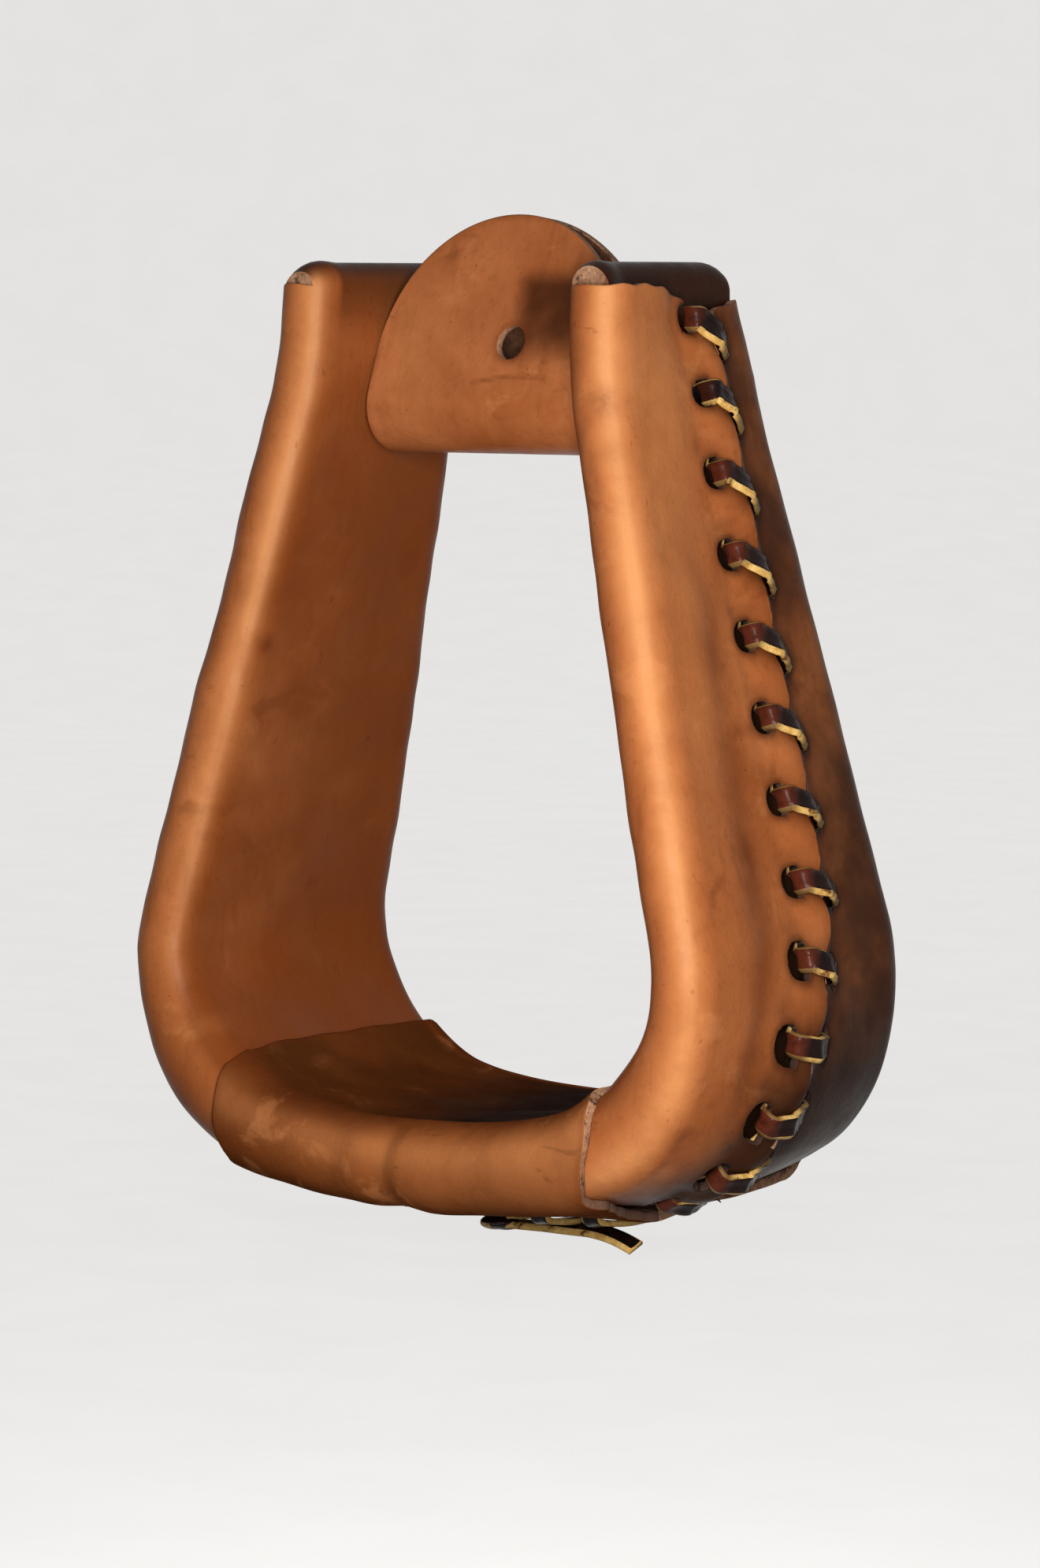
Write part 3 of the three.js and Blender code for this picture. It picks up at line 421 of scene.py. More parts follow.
SEAM_TOP_Y = 8.5
SEAM_LOW_Y = -8.0
LEG_RIDGE = 3.0
BACK_SLOPE = 4.6
REACH_TOP = (8.8, 5.6)
REACH_LOW = (8.4, 7.4)
LACE_WIDTH = 5.5
LACE_THICKNESS = 1.2
TREAD_COVER_UNDER = 47.5


def leg_seam_y(place):
    distance = np.abs(np.asarray(place, float))
    turned = sum(ramp(distance + shift, 58, 108) for shift in (-5, 0, 5)) / 3
    return SEAM_LOW_Y + (SEAM_TOP_Y - SEAM_LOW_Y) * turned


def leg_reach(place, side):
    low, top = REACH_LOW[side > 0], REACH_TOP[side > 0]
    return low + (top - low) * ramp(np.abs(place), CORNER_MIDDLE, LEG_TOP)


# Stitches from the leg's top down: evenly spaced at first, then closer and closer. The slants say how far each one's
# rear end lies below its front end: high on the leg, at the widest place and at the corner's middle, where it is higher.
UPPER_STITCHES, LOWER_STITCHES = 8, 5
FIRST_STITCH_DROP, UPPER_PITCH, FIRST_LOWER_PITCH, PITCH_STEP = 7.0, 17.7, 15.4, 1.2
SLANT_HIGH, SLANT_WIDEST, SLANT_CORNER = 9.0, 3.5, -3.0
leg_stitches = []
start = LEG_TOP - FIRST_STITCH_DROP
for i in range(UPPER_STITCHES + LOWER_STITCHES):
    if i:
        start -= UPPER_PITCH if i < UPPER_STITCHES else FIRST_LOWER_PITCH - PITCH_STEP * (i - UPPER_STITCHES)
    low_slant = SLANT_CORNER + (SLANT_WIDEST - SLANT_CORNER) * float(ramp(start, CORNER_MIDDLE, WIDEST))
    end = start - low_slant - (SLANT_HIGH - low_slant) * float(ramp(start, WIDEST, 2 * WIDEST))
    enter = float(leg_seam_y(start) - leg_reach(start, -1))
    leave = float(leg_seam_y(end) + leg_reach(end, 1))
    leg_stitches.append((start, end, enter, leave))
# The pulled lace opens each front slot and draws it in towards the seam, both listed from the top down. The rear slots
# all gape alike and are drawn in alike, and the pull takes up a share of each slant.
FRONT_GAPES = (2.6, 3.4, 3.2, 3.6, 3.6, 3.6, 3.6, 3.8, 4.4, 4.8, 4.4, 3.6, 2.6)
BACK_GAPE = 1.8
DRAWN_IN = (2.8, 3.8, 2.6, 2.2, 2.3, 2.3, 2.3, 2.3, 2.3, 2.4, 2.4, 2.3, 2.3)
BACK_DRAWN_IN = 1.5
SLANT_TAKEN_UP = 0.24
drawn_stitches = [
    (start, end + (start - end) * SLANT_TAKEN_UP, enter + drawn, leave - BACK_DRAWN_IN)
    for (start, end, enter, leave), drawn in zip(leg_stitches, DRAWN_IN)
]


# How far each stitch presses the leather down along its lace's line. It lowers the seam's ridge, and the same mask is
# painted on as shade under the lace.
def under_stitch(place, y):
    pressed_and_shaded = np.zeros(np.broadcast(place, y).shape)
    for start, end, enter, leave in drawn_stitches:
        across = np.clip((y - enter) / (leave - enter), -0.1, 1.1)
        inside = smooth(y, enter - 3, enter + 1) * smooth(-y, -leave - 3, -leave)
        pressed_and_shaded = np.maximum(pressed_and_shaded, bell(place - (start + (end - start) * across), 4.0) * inside)
    return pressed_and_shaded


# The seam's ridge: a gentle slope in front of the crest and a steep one behind it, where the back edge lies lower. The
# stitches pull it down.
def leg_ridge(place, y):
    place = np.abs(place)
    from_seam = y - leg_seam_y(place)
    reach = np.where(from_seam < 0, leg_reach(place, -1) * 1.2, BACK_SLOPE)
    share = np.clip(np.abs(from_seam) / reach, 0, 1)
    height = LEG_RIDGE * (1 + np.cos(math.pi * share)) / 2
    height = height - np.where(from_seam > 0, 0.8 * bell(from_seam, 2.0), 0)
    height = height * smooth(place, TREAD_COVER_UNDER - 1, TREAD_COVER_UNDER + 6)
    return height * (1.08 - 0.42 * under_stitch(place, y))


# Half the width of the inner leather's tab, and the height of the leg's top edge along y, minus below the leg's top
TAB_HALF = NECK_DEPTH / 2 - 2.8
TOP_EDGE_Y = [-30, -14, -9, -4, 0, 4, SEAM_TOP_Y, 11, 16, 22, 30]
TOP_EDGE_DROP = [0.3, 0.3, 0.0, -1.0, -2.5, -4.4, -6.8, -5.8, -4.4, -3.2, -3.2]

# Stains and specks that riding has left: where each one's middle is, its radius and its depth of colour
STAINS = [
    ((46.8, -27.0, 1.8), 3.2, 0.7),
    ((48.5, -26.0, -9.0), 2.4, 0.45),
    ((53.5, -27.5, -38.0), 2.0, 0.4),
    ((-48.2, -25.7, -53.0), 2.2, 0.8),
    ((-62.5, 4.8, -108.4), 1.6, 0.6),
    ((-63.5, 9.0, -104.0), 1.3, 0.5),
    ((-60.0, -2.0, -98.0), 3.0, 0.25),
    ((-28.0, -11.8, -2.7), 3.4, 0.75),
    ((-23.5, -11.5, -6.0), 2.0, 0.35),
    ((19.1, -12.5, -4.7), 2.6, 0.55),
    ((13.5, -11.5, -5.6), 1.6, 0.5),
    ((-10.0, -11.0, -3.0), 1.8, 0.2),
]


def stained(points):
    total = np.zeros(points.shape[:-1])
    for middle, radius, depth in STAINS:
        total = np.maximum(total, depth * bell(np.linalg.norm(points - np.array(middle), axis=-1), radius))
    return total


ARCH_STEPS, TUCK_STEPS = 20, 10
TAB_TUCK, TAB_SHOULDER, LEAST_HOLLOW, FRONT_END_ROOM = 14.4, 1.6, 0.8, 1.6


def leg_cover(side, leather_finishes):
    zone, u = zone_columns([54, 16, 28, 16, 40])
    hidden = np.linspace(0.3, TREAD_COVER_UNDER - 8, 9)
    shown = np.linspace(TREAD_COVER_UNDER - 8, LEG_TOP, 262)[1:]
    arch = np.arange(1, ARCH_STEPS + TUCK_STEPS + 1)
    levels = np.concatenate([hidden, shown])
    place = np.repeat(levels[:, None], len(zone), axis=1)
    between = np.ones(place.shape[0])
    for start, _, _, _ in leg_stitches:
        between -= bell(levels - start + 2, 5.0)
    seam = leg_seam_y(place) + 0.8 * np.clip(between, 0, 1)[:, None] - 0.3
    y, out = wrap(place, zone[None, :], u[None, :], seam)
    top_y = y[-1]
    tab_half = TAB_HALF + (1.7 if side < 0 else -0.2)
    on_tab = (out[-1] < 0) & (np.abs(top_y) <= tab_half)
    first, last = np.flatnonzero(on_tab)[[0, -1]]
    steps = np.arange(len(zone))
    away_from_tab = np.maximum(np.maximum(first - steps, steps - last), 0)
    drop = np.interp(top_y, TOP_EDGE_Y, TOP_EDGE_DROP) + 0.25 * np.sin(top_y * 0.9 + side)
    drop *= smooth(away_from_tab, 0, 3)
    place = place + drop[None, :] * smooth(place, LEG_TOP - 30, LEG_TOP)
    kept = np.ones((len(levels) - 1, len(zone) - 1), bool)
    slots = []
    for (start, end, enter, leave), gape in zip(drawn_stitches, FRONT_GAPES):
        slots += [(start, enter - 0.4, -1, gape + 0.6), (end, leave, 1, BACK_GAPE)]
    outside = (zone[None, :] == 0) | (zone[None, :] == 4)
    pressed_and_shaded = under_stitch(place, y) * outside
    place, y, kept, rim = cut_slots(place, y, kept, slots, outside)
    base = on_bow(place * side, y, np.where(outside, out + crown_at(place, y), out))
    x, z, out_x, out_z = bow_line(place * side)
    outward = np.stack([out_x, np.zeros_like(x), out_z], axis=-1)
    middle = on_bow(place * side, y * 0, out * 0)
    slot_y = seam - leg_reach(place, -1)
    to_front = (slot_y - y) / (slot_y + half_depth(place) - EDGE_ROUND)
    # A shallow hollow between the front edge and the slots, low on the leg; it is also painted darker as shade.
    low = smooth(-place, -205, -165) * smooth(place, 62, 88)
    shaded_valley = bell(to_front - 0.36, 0.19) * (zone == 0)[None, :] * low
    raised = np.where(outside, leg_ridge(place, y), 0) + 0.3 * rim * (y < seam) - 0.8 * shaded_valley
    skin = base + outward * raised[..., None]
    normal = grid_normals(skin, skin - middle)
    wobble = 0.26 * unevenness(base, 46, 11 + side) + 0.12 * unevenness(base, 17, 21 + side)
    # Small dents beside each slot; the same mask is also painted darker as shade.
    shaded_dimple = np.zeros_like(place)
    for start, end, enter, leave in leg_stitches:
        shaded_dimple += bell(np.hypot(place - start - 5.4, (y - enter - 1.5) * 0.6), 2.2) * outside
        shaded_dimple += 0.7 * bell(np.hypot(place - end - 4.6, (y - leave - 0.5) * 0.8), 2.8) * outside
    skin = skin + normal * (wobble * smooth(LEG_TOP - place, 0, 12) - 0.55 * shaded_dimple)[..., None]
    flesh = skin - normal * LEATHER
    # The tab goes on over the wood's tip in an arch and down behind the seam's two halves
    behind = float(face_out(np.array(LEG_TOP)) - TOP_THINNING - LEATHER - GAP)
    behind = behind + FRONT_END_ROOM * smooth(-top_y, 14, 22)
    starts = np.where(on_tab, out[-1], 0)
    radius = (behind - starts) / 2
    centre = (behind + starts) / 2
    turn = np.clip(arch / ARCH_STEPS, 0, 1) * math.pi
    down = np.clip((arch - ARCH_STEPS) / TUCK_STEPS, 0, 1) * TAB_TUCK
    shoulder = TAB_SHOULDER * ramp(np.abs(top_y) / tab_half, 0.72, 1) ** 2

    def arched(r):
        up = LEG_TOP - shoulder[None, :] * np.sin(turn / 2)[:, None]
        up = up + r[None, :] * np.sin(turn)[:, None] - down[:, None]
        across = centre[None, :] - r[None, :] * np.cos(turn)[:, None]
        return on_bow(side * up, np.broadcast_to(top_y, up.shape) * 0.999, across)

    squeezed = smooth(np.abs(top_y), tab_half - 2.0, tab_half - 0.6)
    skin = np.concatenate([skin, arched(radius)])
    hollow = np.maximum(radius - LEATHER, LEAST_HOLLOW)
    flesh = np.concatenate([flesh, arched(hollow + (LEAST_HOLLOW - hollow) * squeezed)])
    tab_faces = np.zeros((len(arch), len(zone) - 1), bool)
    tab_faces[:, first:last] = True
    kept = np.concatenate([kept, tab_faces])
    over_arch = smooth(arch, 0, 11)[:, None]
    in_zone = lambda *wanted: np.isin(zone, wanted)[None, :] * np.ones_like(place)
    edges = in_zone(1, 3)
    towards_light = u if side < 0 else 1 - u
    # Painted highlight, partly wear: a paler band along the front edge where it faces the lamp
    ridge = np.where(zone == 1, bell(towards_light - 0.71, 0.13), 0)[None, :] * np.ones_like(place)
    # Painted shade on the side of the front edge turned away from the lamp. high is painted light on the outer face in
    # front of the seam; on the left leg the part of that face beside the front edge is painted shade instead.
    turned_off_shade = np.where(zone == 1, smooth(-towards_light, -0.6, -0.15), 0)[None, :] * np.ones_like(place)
    high = np.where(zone == 0, 1.0, np.where(zone == 1, smooth(-u, -0.55, 0), 0))[None, :]
    if side < 0:
        beside_shade = smooth(to_front, 0.5, 1) * (zone == 0)[None, :]
        turned_off_shade, high = turned_off_shade + beside_shade, high * (zone == 0)[None, :] - beside_shade
    shaded = outside * smooth(y - seam - 0.3 * (place - 60), -25, -7) + in_zone(3) * smooth(out, -3, 4)
    # Each mark's depth on the leg, and the one that it grows to over the tab
    marks = {
        "near_seam": (bell(y - seam, 7.0) * outside, 0),
        # Painted shade in the dents and round the slots, and under the laces
        "shaded_dimple": (np.maximum(0.3 * shaded_dimple, 0.8 * rim), 0),
        "pressed_and_shaded": (pressed_and_shaded, 0),
        # Painted shade on the inner face and the inner side of the edges
        "inner_face_shade": (np.maximum(in_zone(2), edges * smooth(-out, 4.5, 7.7)), 0.85),
        # Painted shade behind the seam and on the outer side of the back edge
        "rear": (np.maximum(outside * smooth(y - seam, -0.5, 2.5), in_zone(3) * smooth(out, -3, 4)), 0.5),
        # Painted highlight, partly wear, along the front edge
        "worn": (ridge * (1 if side > 0 else 0.1 + 0.9 * smooth(place, 100, 185)), 0),
        # Painted highlight: a narrow pale line on the front edge
        "painted_highlight_line": (np.where(zone == 1, bell(towards_light - 0.73, 0.05), 0)[None, :] * smooth(place, 70, 110), 0),
        # Painted shade on the side turned away from the lamp
        "turned_off_shade": (turned_off_shade, 0),
        "shaded_valley": (shaded_valley, 0),
        # Painted light on the upper outer face in front of the seam
        "high": (high * smooth(place, 110, 215) * smooth(to_front + 0.004 * (place - 215), 0, 0.5), 0),
        # Painted shade, near black, on the lower corner's downturned faces behind the seam
        "corner": (np.minimum(1, 2 * bell(place - 54, 28)) * shaded, 0),
        # Painted shade over the top of the tab
        "tab_shade": (0.6 * smooth(place - drop[None, :], LEG_TOP - 14, LEG_TOP + 2) * in_zone(2), 1),
        "stain": (stained(base), 0),
    }
    marks = {
        key: np.concatenate([on_leg, on_leg[-1:] + (at_tip - on_leg[-1:]) * over_arch])
        for key, (on_leg, at_tip) in marks.items()
    }
    return leather_piece(f"leg_leather_{'right' if side > 0 else 'left'}", skin, flesh, kept, marks, leather_finishes)


def attribute(name):
    return add("Attribute", {"attribute_name": name}).outputs["Fac"]


TAN = srgb(186, 112, 64)
RUSSET = srgb(162, 90, 46)
DEEP = srgb(104, 50, 22)
UMBER = srgb(44, 20, 10)
PALE = srgb(206, 134, 82)


# Vegetable-tanned leather: slow clouds of tone, darker drawn streaks, fine specks, and blotches where oil went in
def leather_tone(name, light=TAN, dark=RUSSET):
    made, shader = new_finish(name)
    broad = noise(22, 5, 0.6, distortion=0.4)
    cloudy = noise(90, 5, 0.62)
    fine = noise(420, 4, 0.65)
    tone = mixed(spread(broad, 0.34, 0.68), light, dark)
    tone = mixed(spread(cloudy, 0.42, 0.75, 0, 0.5), tone, dark)
    streaks = noise(120, 5, 0.65, stretch=(1.4, 1.4, 0.16), distortion=0.2)
    tone = mixed(spread(streaks, 0.52, 0.78, 0, 0.4), tone, DEEP)
    tone = mixed(spread(fine, 0.5, 0.8, 0, 0.28), tone, DEEP)
    blotch = spread(noise(52, 3, 0.55, distortion=0.8), 0.6, 0.72, 0, 0.4)
    tone = mixed(blotch, tone, DEEP)
    rubbed = spread(noise(66, 4, 0.6, distortion=0.5), 0.58, 0.7, 0, 0.4)
    tone = mixed(rubbed, tone, PALE)
    specks = spread(noise(640, 2, 0.5), 0.72, 0.8, 0, 0.5)
    return made, shader, mixed(specks, tone, UMBER), cloudy


def marked(tone, name, depth, colour, broken=None):
    share = math_of("MULTIPLY", attribute(name), depth)
    if broken:
        share = math_of("MULTIPLY", share, spread(noise(broken, 4, 0.6), 0.28, 0.62, 0.45, 1.0))
    return mixed(math_of("MINIMUM", share, 1.0), tone, colour)


def finish_leather(made, shader, tone, cloudy, rough=0.36, shine=0.05):
    pores = noise(1700, 2, 0.5)
    pebbles = add("TexVoronoi", Vector=place_on_object(), Scale=820.0).outputs["Distance"]
    creases = noise(230, 4, 0.6, stretch=(1.0, 1.0, 0.35))
    nicks = spread(noise(150, 3, 0.75, stretch=(0.35, 2.5, 1.2), distortion=0.6), 0.66, 0.72)
    normal = bump(creases, 0.18, 0.0006)
    normal = bump(nicks, -0.22, 0.0003, normal)
    normal = bump(pebbles, 0.12, 0.0003, normal)
    normal = bump(pores, 0.16, 0.0002, normal)
    wire(
        shader,
        Base_Color=mixed(math_of("MULTIPLY", nicks, 0.25), tone, UMBER),
        Roughness=spread(cloudy, 0.3, 0.75, rough - 0.05, rough + 0.1),
        Normal=normal,
    )
    shader.inputs["Specular IOR Level"].default_value = shine
    return made


made, shader, tone, cloudy = leather_tone("saddle_leather")
# Painted light on the upper outer face in front of the seam
tone = marked(tone, "high", 0.65, srgb(204, 132, 80), broken=60)
# Painted shade on the side turned away from the lamp
tone = marked(tone, "turned_off_shade", 0.85, srgb(112, 56, 26), broken=60)
# Painted highlight, partly wear, along the front edge
tone = marked(tone, "worn", 0.75, srgb(220, 148, 92), broken=60)
# Painted highlight line
tone = marked(tone, "painted_highlight_line", 0.35, srgb(232, 170, 116), broken=50)
# Painted shade in the hollow
tone = marked(tone, "shaded_valley", 0.6, DEEP, broken=60)
# Painted shade: the inner face darker and redder
tone = marked(tone, "inner_face_shade", 0.85, srgb(118, 56, 18), broken=14)
# Painted shade behind the seam and on the back edge, near black
tone = marked(tone, "rear", 0.92, srgb(46, 24, 13), broken=30)
tone = marked(tone, "near_seam", 0.4, DEEP, broken=120)
# Painted shade, near black, on the lower corner behind the seam
tone = marked(tone, "corner", 0.9, srgb(28, 15, 10))
# Painted shade under the laces
tone = marked(tone, "pressed_and_shaded", 0.7, UMBER)
# Painted shade over the top of the tab
tone = marked(tone, "tab_shade", 0.95, srgb(40, 20, 12))
# Painted shade in the dents and round the slots
tone = marked(tone, "shaded_dimple", 0.8, UMBER)
tone = marked(tone, "stain", 0.8, srgb(92, 34, 14), broken=300)
saddle_leather = finish_leather(made, shader, tone, cloudy)

flesh_side, shader = new_finish("leather_flesh_side")
nap = noise(700, 4, 0.7)
wire(
    shader,
    Base_Color=mixed(spread(nap, 0.3, 0.7), srgb(72, 40, 20), srgb(110, 68, 38)),
    Normal=bump(nap, 0.5, 0.0004),
)
shader.inputs["Roughness"].default_value = 0.9

cut_edge, shader = new_finish("leather_cut_edge")
fibre = noise(900, 4, 0.7)
patches = noise(150, 3, 0.6)
raw = mixed(spread(fibre, 0.3, 0.7), srgb(146, 102, 72), srgb(190, 146, 112))
pitted = spread(noise(520, 2, 0.5), 0.6, 0.68, 0, 0.85)
# The raw edge is painted darker as shade round the slots and along the tread's lower front and underside
wire(
    shader,
    Base_Color=marked(
        marked(
            mixed(pitted, mixed(spread(patches, 0.5, 0.72), raw, srgb(116, 66, 38)), srgb(62, 32, 18)),
            "shaded_dimple",
            1.2,
            UMBER,
        ),
        "low",
        0.85,
        srgb(70, 40, 24),
    ),
    Normal=bump(fibre, 0.7, 0.0005),
)
shader.inputs["Roughness"].default_value = 0.8

for side, name in ((-1, "left"), (1, "right")):
    piece = leg_cover(side, [saddle_leather, flesh_side, cut_edge])
    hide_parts(f"leg_cover_{name}")
    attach(piece, "bow")

# Leg laces: one flat oxblood lace on each leg, pulled tight in thirteen stitches that go over the seam and on beneath
# the leather to the next slot. Its bevelled edges show the raw yellow core.
LACE_LIFT = 0.35


def smooth_path(points, rounds=3):
    for _ in range(rounds):
        quarter = points[:-1] * 0.75 + points[1:] * 0.25
        three = points[:-1] * 0.25 + points[1:] * 0.75
        middle = np.stack([quarter, three], axis=1).reshape(-1, points.shape[1])
        points = np.concatenate([points[:1], middle, points[-1:]])
    return points


# A flat lace along a path of points, its face a little hollow. across points along its width, to the edge that stands
# higher on the stirrup; outward is the way its face looks. bevels are the widths of the low and of the high raw edge.
def lace_body(path, across, outward, width=LACE_WIDTH, thickness=LACE_THICKNESS, bevels=(0.95, 0.6), cup=0.2):
    forward = np.gradient(path, axis=0)
    forward /= np.linalg.norm(forward, axis=1, keepdims=True) + 1e-12
    across = across - forward * (across * forward).sum(axis=1, keepdims=True)
    across /= np.linalg.norm(across, axis=1, keepdims=True) + 1e-12
    up = np.cross(forward, across)
    flip = -1 if (up * outward).sum() < 0 else 1
    up = up * flip
    w, t = width / 2, thickness / 2
    low, high = bevels
    outline = [(-w + 0.2, -t), (w - 0.2, -t), (w, -t * 0.4), (w, t * 0.2), (w - high, t + cup)]
    outline += [((w - high) / 2, t + cup * 0.3), (0, t), ((low - w) / 2, t + cup * 0.3)]
    outline += [(low - w, t + cup), (-w, t * 0.2), (-w, -t * 0.4)]
    raw = {1, 2, 3, 8, 9, 10}
    rings = np.stack([path + across * a + up * b for a, b in outline], axis=1)
    size = len(outline)
    points = rings.reshape(-1, 3)
    faces, slots = [], []
    for r in range(len(path) - 1):
        for k in range(size):
            a, b = r * size + k, r * size + (k + 1) % size
            faces.append((a, b, b + size, a + size)[::flip])
            slots.append(1 if k in raw else 0)
    faces.append(tuple(range(size))[::-flip])
    faces.append(tuple(range(len(points) - size, len(points)))[::flip])
    return points, faces, slots + [1, 1]


def mesh_object(name, bodies, materials, marks=None):
    points, faces, slots = [], [], []
    start = 0
    for body_points, body_faces, body_slots in bodies:
        points.append(body_points)
        faces += [tuple(int(v) + start for v in face) for face in body_faces]
        slots += body_slots
        start += len(body_points)
    mesh = bpy.data.meshes.new(name)
    mesh.from_pydata((np.concatenate(points) * MM).tolist(), [], faces)
    for material in materials:
        mesh.materials.append(material)
    mesh.polygons.foreach_set("material_index", slots)
    mesh.polygons.foreach_set("use_smooth", [True] * len(faces))
    for key, values in (marks or {}).items():
        values = np.repeat(values, start // len(values))
        mesh.attributes.new(key, "FLOAT", "POINT").data.foreach_set("value", values.astype(np.float32))
    mesh.update()
    made = bpy.data.objects.new(name, mesh)
    bpy.context.scene.collection.objects.link(made)
    return made


# The lace's way through a row of stitches: each is (start, end, enter, leave), places along the bow and y of its slots
def stitch_run(stitches, outer_at, ridge_at):
    run = []
    under = lambda place, y: float(outer_at(place, y)) - LEATHER + LACE_THICKNESS / 2 + 0.2
    over = lambda place, y: float(outer_at(place, y) + ridge_at(place, y)) + LACE_LIFT + LACE_THICKNESS / 2
    for start, end, enter, leave in stitches:
        way = 1 if leave > enter else -1
        if run:
            last_place, last_y = run[-1][0], run[-1][1]
            for share in (0.25, 0.5, 0.75):
                place = last_place + (start - last_place) * share
                y = last_y + (enter + way - last_y) * share
                run.append((place, y, under(place, y)))
        run.append((start, enter + way * 1.2, under(start, enter)))
        run.append((start, enter + way * 0.1, under(start, enter) + 0.7))
        run.append((start, enter + way * 0.1, over(start, enter + way) - 0.5))
        for share in np.linspace(0, 1, 13):
            y = enter + way * 0.9 + (leave - enter - way * 1.8) * share
            place = start + (end - start) * share
            run.append((place, y, over(place, y) + 0.35 * bell(share, 0.12)))
        run.append((end, leave - way * 0.2, over(end, leave - way) - 0.7))
        run.append((end, leave - way * 0.2, under(end, leave) + 0.7))
        run.append((end, leave - way * 1.2, under(end, leave)))
    return np.array(run)


def lace_frame(run, side=1):
    path = on_bow(run[:, 0] * side, run[:, 1], run[:, 2])
    further = on_bow((run[:, 0] + 1) * side, run[:, 1], run[:, 2])
    nearer = on_bow((run[:, 0] - 1) * side, run[:, 1], run[:, 2])
    return path, further - nearer, on_bow(run[:, 0] * side, run[:, 1], run[:, 2] + 1) - path


def leg_outer(place, y):
    return face_out(place) - thinning(place) + crown_at(place, y)


lace_face, shader = new_finish("oxblood_lace")
worn = noise(260, 4, 0.6)
tone = mixed(spread(worn, 0.35, 0.7), srgb(32, 15, 11), srgb(16, 9, 7))
# Painted light on each stitch's front third, and painted shade where the lace plunges into a slot
tone = marked(tone, "front", 0.85, srgb(118, 52, 32), broken=500)
tone = marked(tone, "plunging_shade", 0.45, srgb(40, 18, 12))
wire(
    shader,
    Base_Color=mixed(spread(noise(800, 3, 0.6), 0.62, 0.8, 0, 0.4), tone, srgb(84, 40, 26)),
    Roughness=spread(worn, 0.3, 0.7, 0.2, 0.34),
    Normal=bump(noise(600, 3, 0.6), 0.35, 0.0004),
)
shader.inputs["Specular IOR Level"].default_value = 0.08
lace_edge, shader = new_finish("lace_raw_edge")
rubbed = mixed(spread(noise(500, 4, 0.7), 0.3, 0.7), srgb(196, 150, 78), srgb(234, 198, 122))
tone = mixed(spread(noise(240, 3, 0.6), 0.56, 0.68), rubbed, srgb(104, 62, 28))
# Painted shade on the raw edge at the front, where the lace plunges and at its rear end
tone = marked(tone, "front", 0.45, srgb(120, 78, 34))
tone = marked(tone, "plunging_shade", 0.7, srgb(70, 40, 20))
tone = marked(tone, "rear_end_shade", 0.75, srgb(60, 36, 20))
wire(shader, Base_Color=tone, Normal=bump(noise(1200, 3, 0.6), 0.3, 0.0003))
shader.inputs["Roughness"].default_value = 0.5
shader.inputs["Specular IOR Level"].default_value = 0.15

for side, name in ((-1, "left"), (1, "right")):
    run = smooth_path(stitch_run(drawn_stitches, leg_outer, leg_ridge))
    places, at_y = run[:, 0], run[:, 1]
    front, rear = leg_reach(places, -1), leg_reach(places, 1)
    across_seam = (at_y - leg_seam_y(places) + front) / (front + rear)
    path, across, outward = lace_frame(run, side)
    twist = 0.3 * bell(across_seam - 0.55, 0.3)[:, None]
    across = across / np.linalg.norm(across, axis=1, keepdims=True) - twist * outward
    # Painted light on each stitch's front third; painted shade where the lace plunges and at its rear end
    marks = {
        "front": 1 - smooth(across_seam, 0.16, 0.32),
        "plunging_shade": smooth(-across_seam, -0.36, -0.2),
        "rear_end_shade": smooth(across_seam, 0.6, 0.76),
    }
    body = lace_body(path + outward * twist * 1.6, across, outward, bevels=(1.0, 0.4))
    piece = mesh_object(f"lace_{name}", [body], [lace_face, lace_edge], marks)
    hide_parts(f"leg_lace_{name}")
    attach(piece, "bow")

# Tread cover: one leather round the tread, over the ends of the leg covers, its raw ends curved to the corners and its
# edges laced together along the underside. Its top is coloured darker; the foot has creased it at the middle of its
# front.
TREAD_COVER_TOP = 61.0
TREAD_SEAM_Y = -5.0
TREAD_RIDGE = 1.8
TREAD_RIDGE_SPREAD = 2.2
TREAD_REACH = 8.0
TREAD_PITCH = 13.6
TREAD_LIFT = LEATHER + GAP
CREASE_AT = -1.8

tread_stitches = {
    side: [
        (
            side * TREAD_PITCH * (2.5 - i),
            side * (TREAD_PITCH * (2.5 - i) - 3),
            TREAD_SEAM_Y + TREAD_REACH,
            TREAD_SEAM_Y - TREAD_REACH,
        )
        for i in range(3)
    ]
    for side in (-1, 1)
}


def tread_ridge(place, y):
    share = np.clip(np.abs(y - TREAD_SEAM_Y) / (TREAD_REACH * TREAD_RIDGE_SPREAD), 0, 1)
    height = TREAD_RIDGE * (1 + np.cos(math.pi * share)) / 2
    return height * smooth(TREAD_COVER_UNDER - np.abs(place), 0, 6)


def tread_outer(place, y):
    return face_out(place) + TREAD_LIFT + crown_at(place, y)


